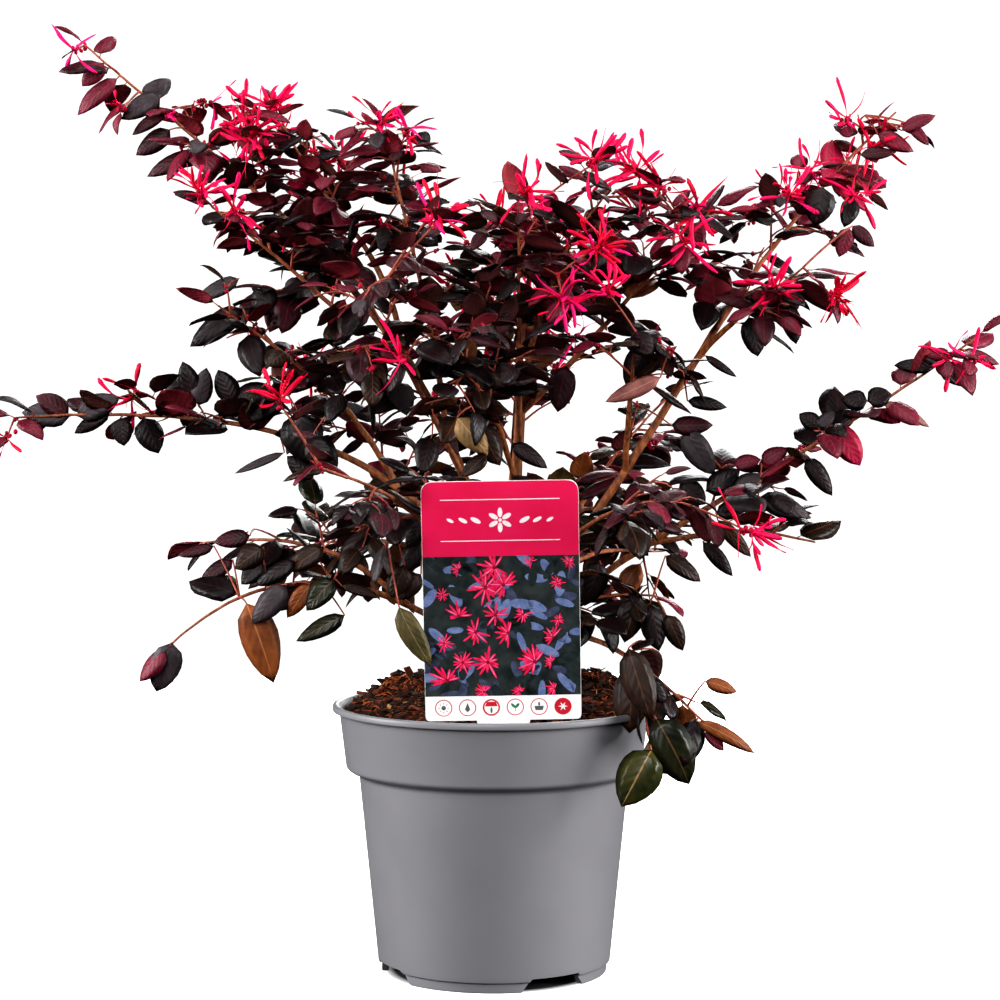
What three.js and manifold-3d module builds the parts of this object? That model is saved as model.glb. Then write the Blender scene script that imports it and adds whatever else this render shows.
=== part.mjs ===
// A potted Chinese fringe flower: a low, wide shrub with burgundy leaves and pink ribbon blossoms,
// in a grey nursery pot, with a picture card on a spike pushed into its compost.
// Millimetres, +Z up, origin on the pot's axis at the level that the pot stands on.
import * as THREE from "three";
import { mergeVertices } from "three/addons/utils/BufferGeometryUtils.js";
import Module from "manifold-3d";

const wasm = await Module();
wasm.setup();

// Driving dimensions of the pot
const CLEARANCE = 0.3; // left between two pieces that touch
const POT_HEIGHT = 158;
const POT_SIDES = 36;
const WALL = 2;
const RIM_RADIUS = 95;
const RIM_HEIGHT = 4;
const RIM_TOP = 3; // width of the rim's level top with its bevel
const RIM_BEVEL = 1;
const BAND_TOP_RADIUS = 91; // the upright collar under the rim
const BAND_BOTTOM_RADIUS = 87;
const BAND_BOTTOM = 121;
const BAND_BEVEL = 1.5;
const BAND_UNDERSIDE = 4; // height in which the collar steps in to the body
const BODY_TOP_RADIUS = 79.5;
const BODY_BOTTOM_RADIUS = 68.4;
const FOOT_RADIUS = 66.4;
const FOOT_HEIGHT = 6;
const FOOT_WIDTH = 4;
const FLOOR = 9; // underside of the pot's floor
const NOTCH_WIDTH = 36;
const NOTCH_HEIGHT = 8;
const NOTCH_ANGLES = [-58, -155, 122, 25]; // degrees, from the line towards +X

// Driving dimensions of the compost and the card
const COMPOST_TOP = 162;
const COMPOST_FLAT_RADIUS = 26; // level patch that the trunk stands on
const COMPOST_EDGE = 153;
const COMPOST_SLOPE = [[74, 157], [50, 160]]; // radius and height of two rings of the mound
const CARD_WIDTH = 87;
const CARD_HEIGHT = 135;
const CARD_THICKNESS = 0.9;
const CARD_CORNER = 7;
const CARD_FOOT_CORNER = 3;
const CARD_LEAN = 6; // degrees, top towards the front
const CARD_TURN = 1; // degrees, top towards the left
const CARD_FOOT = [5.5, -85, 159]; // middle of its lower edge
const SPIKE_LENGTH = 34;
const SPIKE_WIDTH = 30;
const SPIKE_TIP_WIDTH = 12;

// Driving dimensions of the shrub
const TRUNK_FOOT = [4, 4, COMPOST_TOP + CLEARANCE];
const TRUNK_HEIGHT = 58;
const TRUNK_LEAN = [6, 2];
const TRUNK_GIRTH = 8.5; // radius above the root flare
const TRUNK_TOP_GIRTH = 6;
const ROOT_FLARE = 6;
const ROOT_FLARE_HEIGHT = 7;
const TRUNK_HANDLES = [0.4, 0.3]; // how long it keeps upright at its foot and at its top
const TRUNK_END = 0.92; // share of its course that is wood: the boughs start inside it
const TRUNK_SIDES = 10;
const LIMB_SIDES = 6;
const LIMB_STEP = 45; // length of one straight stretch of a limb
const FEWEST_STEPS = 4;
const HANDLE = 0.42; // how long a limb keeps to its first and last direction
const TIP_GIRTH = 1.4; // radius of a stem at its tip
const STEM_SIDES = 4;
const STEM_STEPS = 4;
const SEED = 11;

// Driving dimensions of the twigs, the leaves and the blossoms. A pair in brackets is a range.
const DIVERGENCE = 137.5; // degrees round the stem from one twig to the next
const DIVERGENCE_SCATTER = [-25, 25];
const FIRST_TWIG = 0.4; // how far into its share of the stem a twig stands
const TWIG_ANGLE = [45, 65]; // degrees from the stem
const TWIG_SIZES = [0.8, 1.15];
const LAST_TWIG = 0.55; // length of the twig at the tip as a share of that at the root
const TWIG_DROOP = 1 / 6; // share of its length by which its tip hangs
const TWIG_LIFT = 0.2; // how far it is turned up from its angle to the stem
const TWIG_SIDES = 3;
const TWIG_GIRTH = 0.95;
const TWIG_TIP_GIRTH = 0.76;
const TWIG_LEAVES = [1, 0.72, 0.4]; // places of a twig's leaves, the end leaf first
const STEM_LEAVES = [1, 0.84, 0.68, 0.5, 0.3];
const TIP_LEAF = 0.66; // size of the leaves at the tip of a stem as a share of those at its root
const LEAF_LENGTH = 45;
const LEAF_SIZES = [0.82, 1.12];
const LEAF_WIDTH = 0.68; // share of its length
const LEAF_THICKNESS = 0.045;
const LEAF_THICKEST = 0.12; // share of its length from the root to its thickest place
const LEAF_ANGLE = 52; // degrees from its carrier
const END_LEAF_ANGLE = 12;
const LEAF_DROOP = [-0.3, 0.34];
const LEAF_ROLL = [-35, 35]; // degrees
const LEAF_SINK = 0.5; // how far the root of a side leaf reaches past the twig's middle
const END_LEAF_SINK = 3; // and how far that of an end leaf reaches into the twig
const SMALLER_LEAF = 0.72; // a leaf that doesn't fit is tried once more at this size
const PETAL_LENGTH = 23;
const PETAL_SIZES = [0.8, 1.1];
const PETAL_LIFT = 0.35;
const CALYX = 3;
const BLOSSOM_UPTURN = 0.6; // how far a blossom turns from its stem's direction to upright

// Distances that the foliage keeps
const SPACE_POINTS = 16; // places along a stem that measure whose space a leaf is in
const SPACE_MARGIN = 1.2; // a mass stops this far short of the middle between two stems
const LIMB_GAP = 0.24;
const POT_GAP = 1;
const CARD_VIEW = 100; // free depth in front of the card

// Each limb leaves its parent at a share of the parent's length, rises at one angle and reaches its
// tip at another. It is bare up to a share of its length, and a mass of leaves grows from there on.
// Twigs is the number of side twigs, spread their length, and blooms the places of the blossoms.
const LIMBS = {
  left_tall: {
    from: "trunk", at: 0.64, tip: [-242, 30, 545], rise: 79, reach: 40, girth: 3,
    bare: 0.48, spread: 25, twigs: 6, blooms: [0.4, 1],
  },
  dome_middle: {
    from: "trunk", at: 0.9, tip: [68, 24, 460], rise: 84, reach: 50, girth: 2.7,
    bare: 0.6, spread: 40, twigs: 5, blooms: [0.55, 1],
  },
  right_tall: {
    from: "trunk", at: 0.7, tip: [237, 22, 505], rise: 49, reach: 43, girth: 2.9,
    bare: 0.56, spread: 28, twigs: 5, blooms: [0.6],
  },
  left_arm: {
    from: "trunk", at: 0.4, tip: [-276, -25, 326], rise: 76, reach: -4, girth: 2.4,
    bare: 0.5, spread: 20, twigs: 4, blooms: [0.55, 1],
  },
  right_arm: {
    from: "trunk", at: 0.5, tip: [277, -35, 373], rise: 38, reach: 36, girth: 2.2,
    bare: 0.42, spread: 19, twigs: 4, blooms: [0.3, 0.95],
  },
  left_low: {
    from: "trunk", at: 0.2, tip: [-184, -54, 197], rise: 46, reach: -44, girth: 2.1,
    bare: 0.42, spread: 12, twigs: 1, blooms: [],
  },
  right_low: {
    from: "trunk", at: 0.22, tip: [90, -66, 227], rise: 52, reach: 0, girth: 2.1,
    bare: 0.44, spread: 27, twigs: 3, blooms: [],
  },
  back_middle: {
    from: "trunk", at: 0.62, tip: [16, 151, 386], rise: 62, reach: 45, girth: 2.4,
    bare: 0.44, spread: 44, twigs: 4, blooms: [0.9],
  },
  front_left: {
    from: "trunk", at: 0.36, tip: [-92, -146, 302], rise: 56, reach: 12, girth: 2.2,
    bare: 0.48, spread: 32, twigs: 4, blooms: [],
  },
  front_right: {
    from: "trunk", at: 0.4, tip: [84, -138, 284], rise: 50, reach: 8, girth: 2.2,
    bare: 0.52, spread: 32, twigs: 4, blooms: [],
  },
  back_left: {
    from: "trunk", at: 0.36, tip: [-112, 132, 340], rise: 52, reach: 30, girth: 2.3,
    bare: 0.42, spread: 38, twigs: 4, blooms: [0.8],
  },
  back_right: {
    from: "trunk", at: 0.3, tip: [104, 134, 330], rise: 52, reach: 30, girth: 2.3,
    bare: 0.42, spread: 38, twigs: 4, blooms: [0.8],
  },
  top_left: {
    from: "left_tall", at: 0.4, tip: [-128, 46, 504], rise: 84, reach: 64, girth: 1.9,
    bare: 0.36, spread: 38, twigs: 4, blooms: [0.8],
  },
  top_middle: {
    from: "left_tall", at: 0.28, tip: [-62, -14, 492], rise: 84, reach: 78, girth: 1.9,
    bare: 0.36, spread: 34, twigs: 5, blooms: [1],
  },
  left_under: {
    from: "left_tall", at: 0.38, tip: [-160, -34, 446], rise: 34, reach: 34, girth: 1.7,
    bare: 0.36, spread: 26, twigs: 3, blooms: [0.5, 0.8],
  },
  left_middle: {
    from: "left_arm", at: 0.34, tip: [-156, -50, 390], rise: 60, reach: 34, girth: 1.8,
    bare: 0.4, spread: 28, twigs: 3, blooms: [0.4],
  },
  front_crown: {
    from: "left_tall", at: 0.16, tip: [-74, -84, 402], rise: 58, reach: 50, girth: 2,
    bare: 0.42, spread: 40, twigs: 4, blooms: [0.8],
  },
  centre: {
    from: "dome_middle", at: 0.24, tip: [-22, -92, 374], rise: 66, reach: 44, girth: 2,
    bare: 0.5, spread: 38, twigs: 4, blooms: [1],
  },
  dome_left: {
    from: "dome_middle", at: 0.34, tip: [14, -46, 446], rise: 66, reach: 60, girth: 1.9,
    bare: 0.42, spread: 40, twigs: 4, blooms: [0.9],
  },
  dome_right: {
    from: "dome_middle", at: 0.44, tip: [126, -20, 446], rise: 44, reach: 44, girth: 1.9,
    bare: 0.4, spread: 36, twigs: 4, blooms: [0.6, 0.9],
  },
  right_star: {
    from: "right_tall", at: 0.5, tip: [176, -40, 412], rise: 44, reach: 34, girth: 1.8,
    bare: 0.36, spread: 21, twigs: 2, blooms: [0.35, 0.75],
  },
  right_middle: {
    from: "right_tall", at: 0.3, tip: [80, -70, 374], rise: 52, reach: 34, girth: 1.9,
    bare: 0.4, spread: 30, twigs: 4, blooms: [],
  },
  right_fan: {
    from: "right_arm", at: 0.32, tip: [186, -22, 254], rise: 10, reach: -14, girth: 1.7,
    bare: 0.4, spread: 17, twigs: 3, blooms: [0.7],
  },
  right_drop: {
    from: "right_low", at: 0.26, tip: [122, -72, 153], rise: 8, reach: -36, girth: 1.7,
    bare: 0.44, spread: 13, twigs: 2, blooms: [],
  },
  left_upper: {
    from: "left_low", at: 0.32, tip: [-174, 36, 250], rise: 40, reach: -6, girth: 1.7,
    bare: 0.4, spread: 20, twigs: 3, blooms: [],
  },
  back_top: {
    from: "back_middle", at: 0.3, tip: [24, 96, 440], rise: 74, reach: 66, girth: 2,
    bare: 0.4, spread: 44, twigs: 4, blooms: [0.9],
  },
  back_low_left: {
    from: "back_left", at: 0.26, tip: [-106, 126, 244], rise: 24, reach: -4, girth: 1.8,
    bare: 0.4, spread: 34, twigs: 2, blooms: [],
  },
  back_low_right: {
    from: "back_right", at: 0.26, tip: [106, 126, 238], rise: 24, reach: -4, girth: 1.8,
    bare: 0.4, spread: 34, twigs: 2, blooms: [],
  },
};

const radians = THREE.MathUtils.degToRad;
const lerp = THREE.MathUtils.lerp;
const within = ([low, high], random) => lerp(low, high, random());
const UP = new THREE.Vector3(0, 0, 1);
const TOLERANCE = 1e-4; // places nearer than this are the same

const materials = {
  pot: new THREE.MeshStandardMaterial({ color: 0x77777b, roughness: 0.45 }),
  compost: new THREE.MeshStandardMaterial({ color: 0x3a2318, roughness: 0.95 }),
  card: new THREE.MeshStandardMaterial({ color: 0xe02765, roughness: 0.35 }),
  bark: new THREE.MeshStandardMaterial({ color: 0x8a5532, roughness: 0.8 }),
  leaf: new THREE.MeshStandardMaterial({ color: 0x3a1c26, roughness: 0.5 }),
};

// A geometry with nothing but its places, each corner held once.
function joined(geometry) {
  const plain = new THREE.BufferGeometry();
  plain.setAttribute("position", geometry.getAttribute("position"));
  plain.setIndex(geometry.index);
  return mergeVertices(plain, TOLERANCE);
}

// Makes a closed geometry into a solid that can be joined and cut.
function solid(geometry) {
  const merged = joined(geometry);
  return new wasm.Manifold(
    new wasm.Mesh({
      numProp: 3,
      vertProperties: merged.attributes.position.array,
      triVerts: new Uint32Array(merged.index.array),
    }),
  );
}

// The largest body of a solid: a scrap that a cut leaves loose is dropped.
function largest(shape) {
  return shape.decompose().reduce((a, b) => (a.volume() > b.volume() ? a : b));
}

function namedMesh(name, shape, material) {
  const { vertProperties, triVerts } = shape.getMesh();
  const geometry = new THREE.BufferGeometry();
  geometry.setAttribute("position", new THREE.BufferAttribute(vertProperties, 3));
  geometry.setIndex(new THREE.BufferAttribute(triVerts, 1));
  geometry.computeVertexNormals();
  const mesh = new THREE.Mesh(geometry, material);
  mesh.name = name;
  return mesh;
}

// A solid of revolution from pairs of radius and height.
function turned(profile, sides) {
  const points = profile.map(([radius, height]) => new THREE.Vector2(radius, height));
  return solid(new THREE.LatheGeometry(points, sides).rotateX(Math.PI / 2));
}

// The pot: body, collar and rim over a foot ring that is notched for drainage.
function makePot() {
  const shell = turned(
    [
      [0, FLOOR],
      [FOOT_RADIUS - FOOT_WIDTH, FLOOR],
      [FOOT_RADIUS - FOOT_WIDTH, 0],
      [FOOT_RADIUS, 0],
      [FOOT_RADIUS, FOOT_HEIGHT],
      [BODY_BOTTOM_RADIUS, FOOT_HEIGHT],
      [BODY_TOP_RADIUS, BAND_BOTTOM - BAND_UNDERSIDE],
      [BAND_BOTTOM_RADIUS - BAND_BEVEL, BAND_BOTTOM - BAND_BEVEL],
      [BAND_BOTTOM_RADIUS, BAND_BOTTOM],
      [BAND_TOP_RADIUS, POT_HEIGHT - RIM_HEIGHT],
      [RIM_RADIUS, POT_HEIGHT - RIM_HEIGHT],
      [RIM_RADIUS, POT_HEIGHT - RIM_BEVEL],
      [RIM_RADIUS - RIM_BEVEL, POT_HEIGHT],
      [RIM_RADIUS - RIM_TOP, POT_HEIGHT],
      [BAND_TOP_RADIUS - WALL, POT_HEIGHT - RIM_HEIGHT],
      [BAND_BOTTOM_RADIUS - WALL, BAND_BOTTOM],
      [BODY_TOP_RADIUS - WALL, BAND_BOTTOM - WALL],
      [BODY_BOTTOM_RADIUS - WALL, FLOOR + WALL],
      [0, FLOOR + WALL],
    ],
    POT_SIDES,
  );
  const cutters = [];
  for (const angle of NOTCH_ANGLES) {
    const cutter = new THREE.BoxGeometry(FOOT_RADIUS, NOTCH_WIDTH, 2 * NOTCH_HEIGHT);
    cutter.translate(FOOT_RADIUS, 0, 0).rotateZ(radians(angle));
    cutters.push(solid(cutter));
  }
  return shell.subtract(wasm.Manifold.union(cutters));
}

// The outline of the card with its spike below, from the middle of its lower edge.
function cardShape(grow) {
  const half = CARD_WIDTH / 2 + grow;
  const top = CARD_HEIGHT + grow;
  const shape = new THREE.Shape();
  shape.moveTo(-half, CARD_FOOT_CORNER - grow);
  shape.lineTo(-half + CARD_FOOT_CORNER, -grow);
  shape.lineTo(-SPIKE_WIDTH / 2 - grow, -grow);
  shape.lineTo(-SPIKE_TIP_WIDTH / 2 - grow, -SPIKE_LENGTH - grow);
  shape.lineTo(SPIKE_TIP_WIDTH / 2 + grow, -SPIKE_LENGTH - grow);
  shape.lineTo(SPIKE_WIDTH / 2 + grow, -grow);
  shape.lineTo(half - CARD_FOOT_CORNER, -grow);
  shape.lineTo(half, CARD_FOOT_CORNER - grow);
  shape.absarc(half - CARD_CORNER, top - CARD_CORNER, CARD_CORNER, 0, Math.PI / 2);
  shape.absarc(-half + CARD_CORNER, top - CARD_CORNER, CARD_CORNER, Math.PI / 2, Math.PI);
  shape.closePath();
  return shape;
}

// The card, or the same shape made larger all round to cut its slot.
function makeCard(grow = 0) {
  const depth = CARD_THICKNESS + 2 * grow;
  const card = new THREE.ExtrudeGeometry(cardShape(grow), {
    depth,
    bevelEnabled: false,
    curveSegments: 4,
  });
  card.translate(0, 0, -depth / 2);
  card.rotateZ(radians(CARD_TURN));
  card.rotateX(Math.PI / 2 + radians(CARD_LEAN));
  card.translate(...CARD_FOOT);
  return solid(card);
}

// The compost fills the pot, is mounded round the trunk, and is slit for the card's spike.
function makeCompost() {
  const inset = WALL + CLEARANCE;
  const floor = FLOOR + WALL + CLEARANCE;
  const filled = (COMPOST_EDGE - BAND_BOTTOM) / (POT_HEIGHT - RIM_HEIGHT - BAND_BOTTOM);
  const edgeRadius = lerp(BAND_BOTTOM_RADIUS, BAND_TOP_RADIUS, filled) - inset;
  const mound = turned(
    [
      [0, floor],
      [BODY_BOTTOM_RADIUS - inset, floor],
      [BODY_TOP_RADIUS - inset, BAND_BOTTOM - WALL + CLEARANCE],
      [BAND_BOTTOM_RADIUS - inset, BAND_BOTTOM + CLEARANCE],
      [edgeRadius, COMPOST_EDGE],
      ...COMPOST_SLOPE,
      [COMPOST_FLAT_RADIUS, COMPOST_TOP],
      [0, COMPOST_TOP],
    ],
    POT_SIDES,
  );
  return mound.subtract(makeCard(CLEARANCE));
}

// Part of a curve, by shares of its length.
class Stretch extends THREE.Curve {
  constructor(whole, from, to) {
    super();
    Object.assign(this, { whole, from, to });
  }

  getPoint(share) {
    return this.whole.getPointAt(lerp(this.from, this.to, share));
  }
}

// A closed tube along a curve: a cylinder whose rings are moved onto the curve and given its radius.
function tube(curve, radiusAt, sides, steps) {
  const geometry = new THREE.CylinderGeometry(1, 1, 1, sides, steps);
  const frames = curve.computeFrenetFrames(steps);
  const position = geometry.getAttribute("position");
  for (let i = 0; i < position.count; i++) {
    const ring = Math.round((position.getY(i) + 0.5) * steps);
    const radius = radiusAt(ring / steps);
    const point = curve.getPointAt(ring / steps);
    point.addScaledVector(frames.normals[ring], position.getX(i) * radius);
    point.addScaledVector(frames.binormals[ring], -position.getZ(i) * radius);
    position.setXYZ(i, point.x, point.y, point.z);
  }
  return solid(geometry);
}

// The trunk runs on a little past its top inside the curve that the boughs start from.
function trunkLimb() {
  const foot = new THREE.Vector3(...TRUNK_FOOT);
  const top = foot.clone().add(new THREE.Vector3(...TRUNK_LEAN, TRUNK_HEIGHT));
  const lower = foot.clone().addScaledVector(UP, TRUNK_HEIGHT * TRUNK_HANDLES[0]);
  const upper = top.clone().addScaledVector(UP, -TRUNK_HEIGHT * TRUNK_HANDLES[1]);
  const curve = new THREE.CubicBezierCurve3(foot, lower, upper, top);
  const radiusAt = (share) => {
    const flare = ROOT_FLARE * Math.exp((-share * TRUNK_HEIGHT) / ROOT_FLARE_HEIGHT);
    return lerp(TRUNK_GIRTH, TRUNK_TOP_GIRTH, share) + flare;
  };
  return { curve, radiusAt, bare: TRUNK_END, sides: TRUNK_SIDES };
}

// The course and the thickness of a limb, from its root inside its parent to its leafy tip.
function limbFrom(parent, { at, tip, rise, reach, girth, bare }) {
  const root = parent.curve.getPointAt(at);
  const end = new THREE.Vector3(...tip);
  const across = end.clone().sub(root).setZ(0).normalize();
  const handle = HANDLE * root.distanceTo(end);
  const heading = (degrees) =>
    across.clone().multiplyScalar(Math.cos(radians(degrees))).setZ(Math.sin(radians(degrees)));
  const first = root.clone().addScaledVector(heading(rise), handle);
  const last = end.clone().addScaledVector(heading(reach), -handle);
  const curve = new THREE.CubicBezierCurve3(root, first, last, end);
  const radiusAt = (share) => lerp(girth, TIP_GIRTH, share);
  return { curve, radiusAt, bare, sides: LIMB_SIDES };
}

// The bare part of a limb, or the same part made thicker and longer all round.
function bareSolid({ curve, radiusAt, bare, sides }, grow = 0) {
  const end = bare + grow / curve.getLength();
  const steps = Math.max(FEWEST_STEPS, Math.round((curve.getLength() * bare) / LIMB_STEP) + 1);
  const part = new Stretch(curve, 0, end);
  return tube(part, (share) => radiusAt(share * end) + grow, sides, steps);
}

// Repeatable random numbers from 0 to 1.
function seeded(seed) {
  let state = seed >>> 0;
  return () => {
    state = (state + 0x6d2b79f5) >>> 0;
    let mixed = Math.imul(state ^ (state >>> 15), state | 1);
    mixed ^= mixed + Math.imul(mixed ^ (mixed >>> 7), mixed | 61);
    return ((mixed ^ (mixed >>> 14)) >>> 0) / 4294967296;
  };
}

// The direction at an angle to a stem, turned round it.
function branching(tangent, angle, turn) {
  const side = new THREE.Vector3().crossVectors(tangent, UP).normalize();
  return tangent.clone().applyAxisAngle(side, angle).applyAxisAngle(tangent, turn).normalize();
}

// A leaf: an eight-faced blade, pointed at both ends and thickest near its root.
function leaf(base, direction, roll, length, sink) {
  const blade = new THREE.OctahedronGeometry(1);
  const position = blade.getAttribute("position");
  for (let i = 0; i < position.count; i++) {
    const isOnFace = Math.abs(position.getZ(i)) > TOLERANCE;
    if (isOnFace) position.setY(i, 2 * LEAF_THICKEST - 1);
  }
  blade.scale((length * LEAF_WIDTH) / 2, length / 2, (length * LEAF_THICKNESS) / 2);
  blade.translate(0, length / 2 - sink, 0);
  const across = new THREE.Vector3().crossVectors(direction, UP).normalize();
  across.applyAxisAngle(direction, roll);
  const face = new THREE.Vector3().crossVectors(across, direction);
  const place = new THREE.Matrix4().makeBasis(across, direction, face).setPosition(base);
  return blade.applyMatrix4(place);
}

// A blossom: a small ball with ribbon petals drawn out of it. The corners of the ball that lie on
// its axes become the petals, all but the one towards its stem.
function blossom(centre, axis, random) {
  const star = joined(new THREE.OctahedronGeometry(1, 1));
  const position = star.getAttribute("position");
  const point = new THREE.Vector3();
  for (let i = 0; i < position.count; i++) {
    point.fromBufferAttribute(position, i);
    const length = PETAL_LENGTH * within(PETAL_SIZES, random);
    const isOnAxis = point.toArray().filter((part) => Math.abs(part) < TOLERANCE).length === 2;
    const isPetal = isOnAxis && point.y > -TOLERANCE;
    if (isPetal) point.y += PETAL_LIFT;
    point.multiplyScalar(isPetal ? length : CALYX);
    position.setXYZ(i, point.x, point.y, point.z);
  }
  const upright = new THREE.Vector3(0, 1, 0);
  const turn = new THREE.Quaternion().setFromUnitVectors(upright, axis);
  star.rotateY(random() * Math.PI).applyQuaternion(turn);
  return solid(star.translate(...centre));
}

// A twig that leaves a stem and droops a little towards its tip.
function twigCurve(start, direction, length) {
  const middle = start.clone().addScaledVector(direction, length / 2);
  const tip = start.clone().addScaledVector(direction, length);
  tip.addScaledVector(UP, -length * TWIG_DROOP);
  return new THREE.QuadraticBezierCurve3(start, middle, tip);
}

const trunk = trunkLimb();
const limbs = { trunk };
for (const [name, sizes] of Object.entries(LIMBS)) {
  limbs[name] = limbFrom(limbs[sizes.from], sizes);
}

// Points along the leafy part of each limb, which say whose space a place is in.
const stemPoints = {};
for (const name of Object.keys(LIMBS)) {
  const { curve, bare } = limbs[name];
  stemPoints[name] = new Stretch(curve, bare, 1).getSpacedPoints(SPACE_POINTS);
}

function nearest(points, place) {
  return Math.min(...points.map((point) => point.distanceTo(place)));
}

// True if every place is nearer to the mass's own stem than to any other.
function inOwnSpace(name, places) {
  return places.every((place) => {
    const own = nearest(stemPoints[name], place) + SPACE_MARGIN;
    return Object.entries(stemPoints).every(
      ([other, points]) => other === name || nearest(points, place) > own,
    );
  });
}

// The corners of a geometry and the middles of its edges.
function outlinePoints(geometry) {
  const position = geometry.getAttribute("position");
  const corners = [];
  for (let i = 0; i < position.count; i++) {
    corners.push(new THREE.Vector3().fromBufferAttribute(position, i));
  }
  const middles = corners.map((corner, i) => {
    return corner.clone().lerp(corners[i % 3 === 2 ? i - 2 : i + 1], 0.5);
  });
  return corners.concat(middles);
}

const pot = makePot();
const card = makeCard();
const compost = makeCompost();
const boughs = {};
for (const [name, { from }] of Object.entries(LIMBS)) {
  boughs[name] = largest(bareSolid(limbs[name]).subtract(bareSolid(limbs[from], CLEARANCE)));
}

// The free space in front of the card, which keeps its face in view.
function cardView() {
  const [x, y, z] = CARD_FOOT;
  const space = new THREE.BoxGeometry(CARD_WIDTH, CARD_VIEW, CARD_HEIGHT);
  return solid(space.translate(x, y - CARD_VIEW / 2, z + CARD_HEIGHT / 2));
}

// Everything that a leaf has to keep clear of.
const obstacles = wasm.Manifold.union([
  turned(
    [
      [0, 0],
      [RIM_RADIUS + POT_GAP, 0],
      [RIM_RADIUS + POT_GAP, POT_HEIGHT + POT_GAP],
      [COMPOST_FLAT_RADIUS, COMPOST_TOP + POT_GAP],
      [0, COMPOST_TOP + POT_GAP],
    ],
    POT_SIDES,
  ),
  makeCard(POT_GAP),
  cardView(),
  ...Object.values(limbs).map((limb) => bareSolid(limb, LIMB_GAP)),
]);

// A mass of foliage: one stem that carries on from its bough, side twigs, blossoms and leaves.
// A piece that would leave the mass's own space, touch a limb or cut another piece is skipped.
function growMass(name, seed) {
  const { spread, twigs, blooms } = LIMBS[name];
  const { curve, radiusAt, bare } = limbs[name];
  const random = seeded(seed);
  const start = bare + CLEARANCE / curve.getLength();
  const stem = new Stretch(curve, start, 1);
  const wood = [tube(stem, (share) => radiusAt(lerp(start, 1, share)), STEM_SIDES, STEM_STEPS)];
  const growth = [];

  const touches = (others, shape) => others.some((other) => !other.intersect(shape).isEmpty());
  const keep = (shape, places, grown) => {
    const fits = inOwnSpace(name, places) && !touches([obstacles, ...growth], shape);
    if (fits) grown.push(shape);
    return fits;
  };
  const addLeaf = (carrier, share, turn, size) => {
    const angle = share === 1 ? END_LEAF_ANGLE : LEAF_ANGLE;
    const direction = branching(carrier.getTangentAt(share), radians(angle), turn);
    direction.z -= within(LEAF_DROOP, random);
    direction.normalize();
    const roll = radians(within(LEAF_ROLL, random));
    const length = LEAF_LENGTH * size * within(LEAF_SIZES, random);
    const sink = share === 1 ? END_LEAF_SINK : LEAF_SINK;
    for (const scale of [1, SMALLER_LEAF]) {
      const blade = leaf(carrier.getPointAt(share), direction, roll, length * scale, sink);
      if (keep(solid(blade), outlinePoints(blade), growth)) break;
    }
  };

  for (const share of blooms) {
    const axis = stem.getTangentAt(share).lerp(UP, BLOSSOM_UPTURN).normalize();
    const centre = stem.getPointAt(share).addScaledVector(axis, CALYX / 2);
    keep(blossom(centre, axis, random), [centre], growth);
  }
  for (let i = 0; i < twigs; i++) {
    const share = (i + FIRST_TWIG) / twigs;
    const turn = radians(i * DIVERGENCE + within(DIVERGENCE_SCATTER, random));
    const angle = radians(within(TWIG_ANGLE, random));
    const direction = branching(stem.getTangentAt(share), angle, turn);
    direction.z += TWIG_LIFT;
    direction.normalize();
    const length = spread * lerp(1, LAST_TWIG, share) * within(TWIG_SIZES, random);
    const twig = twigCurve(stem.getPointAt(share), direction, length);
    const radiusAt = (part) => lerp(TWIG_GIRTH, TWIG_TIP_GIRTH, part);
    const shape = tube(twig, radiusAt, TWIG_SIDES, 1);
    if (!keep(shape, twig.getSpacedPoints(STEM_STEPS).slice(1), wood)) continue;
    TWIG_LEAVES.forEach((place, k) => {
      addLeaf(twig, place, turn + (k * Math.PI) / 2, lerp(1, TIP_LEAF, share));
    });
  }
  STEM_LEAVES.forEach((share, i) => {
    addLeaf(stem, share, i * radians(DIVERGENCE), lerp(1, TIP_LEAF, share));
  });
  return largest(wasm.Manifold.union([...wood, ...growth]));
}

// Assembly
const plant = new THREE.Group();
plant.name = "potted_chinese_fringe_flower";
plant.add(namedMesh("pot", pot, materials.pot));
plant.add(namedMesh("compost", compost, materials.compost));
plant.add(namedMesh("card", card, materials.card));
plant.add(namedMesh("trunk", bareSolid(trunk), materials.bark));
Object.keys(LIMBS).forEach((name, i) => {
  plant.add(namedMesh("bough_" + name, boughs[name], materials.bark));
  plant.add(namedMesh("leaves_" + name, growMass(name, SEED + i), materials.leaf));
});

export default plant;
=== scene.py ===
# The looks of the potted Chinese fringe flower: bark, twigs, leaves and ribbon blossoms grown on from
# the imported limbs, the pot, the compost and the picture card, and a pale studio round them.
import math
import random

import bmesh
import bpy
import numpy as np
from mathutils import Matrix, Vector, noise
from mathutils.kdtree import KDTree


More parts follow.
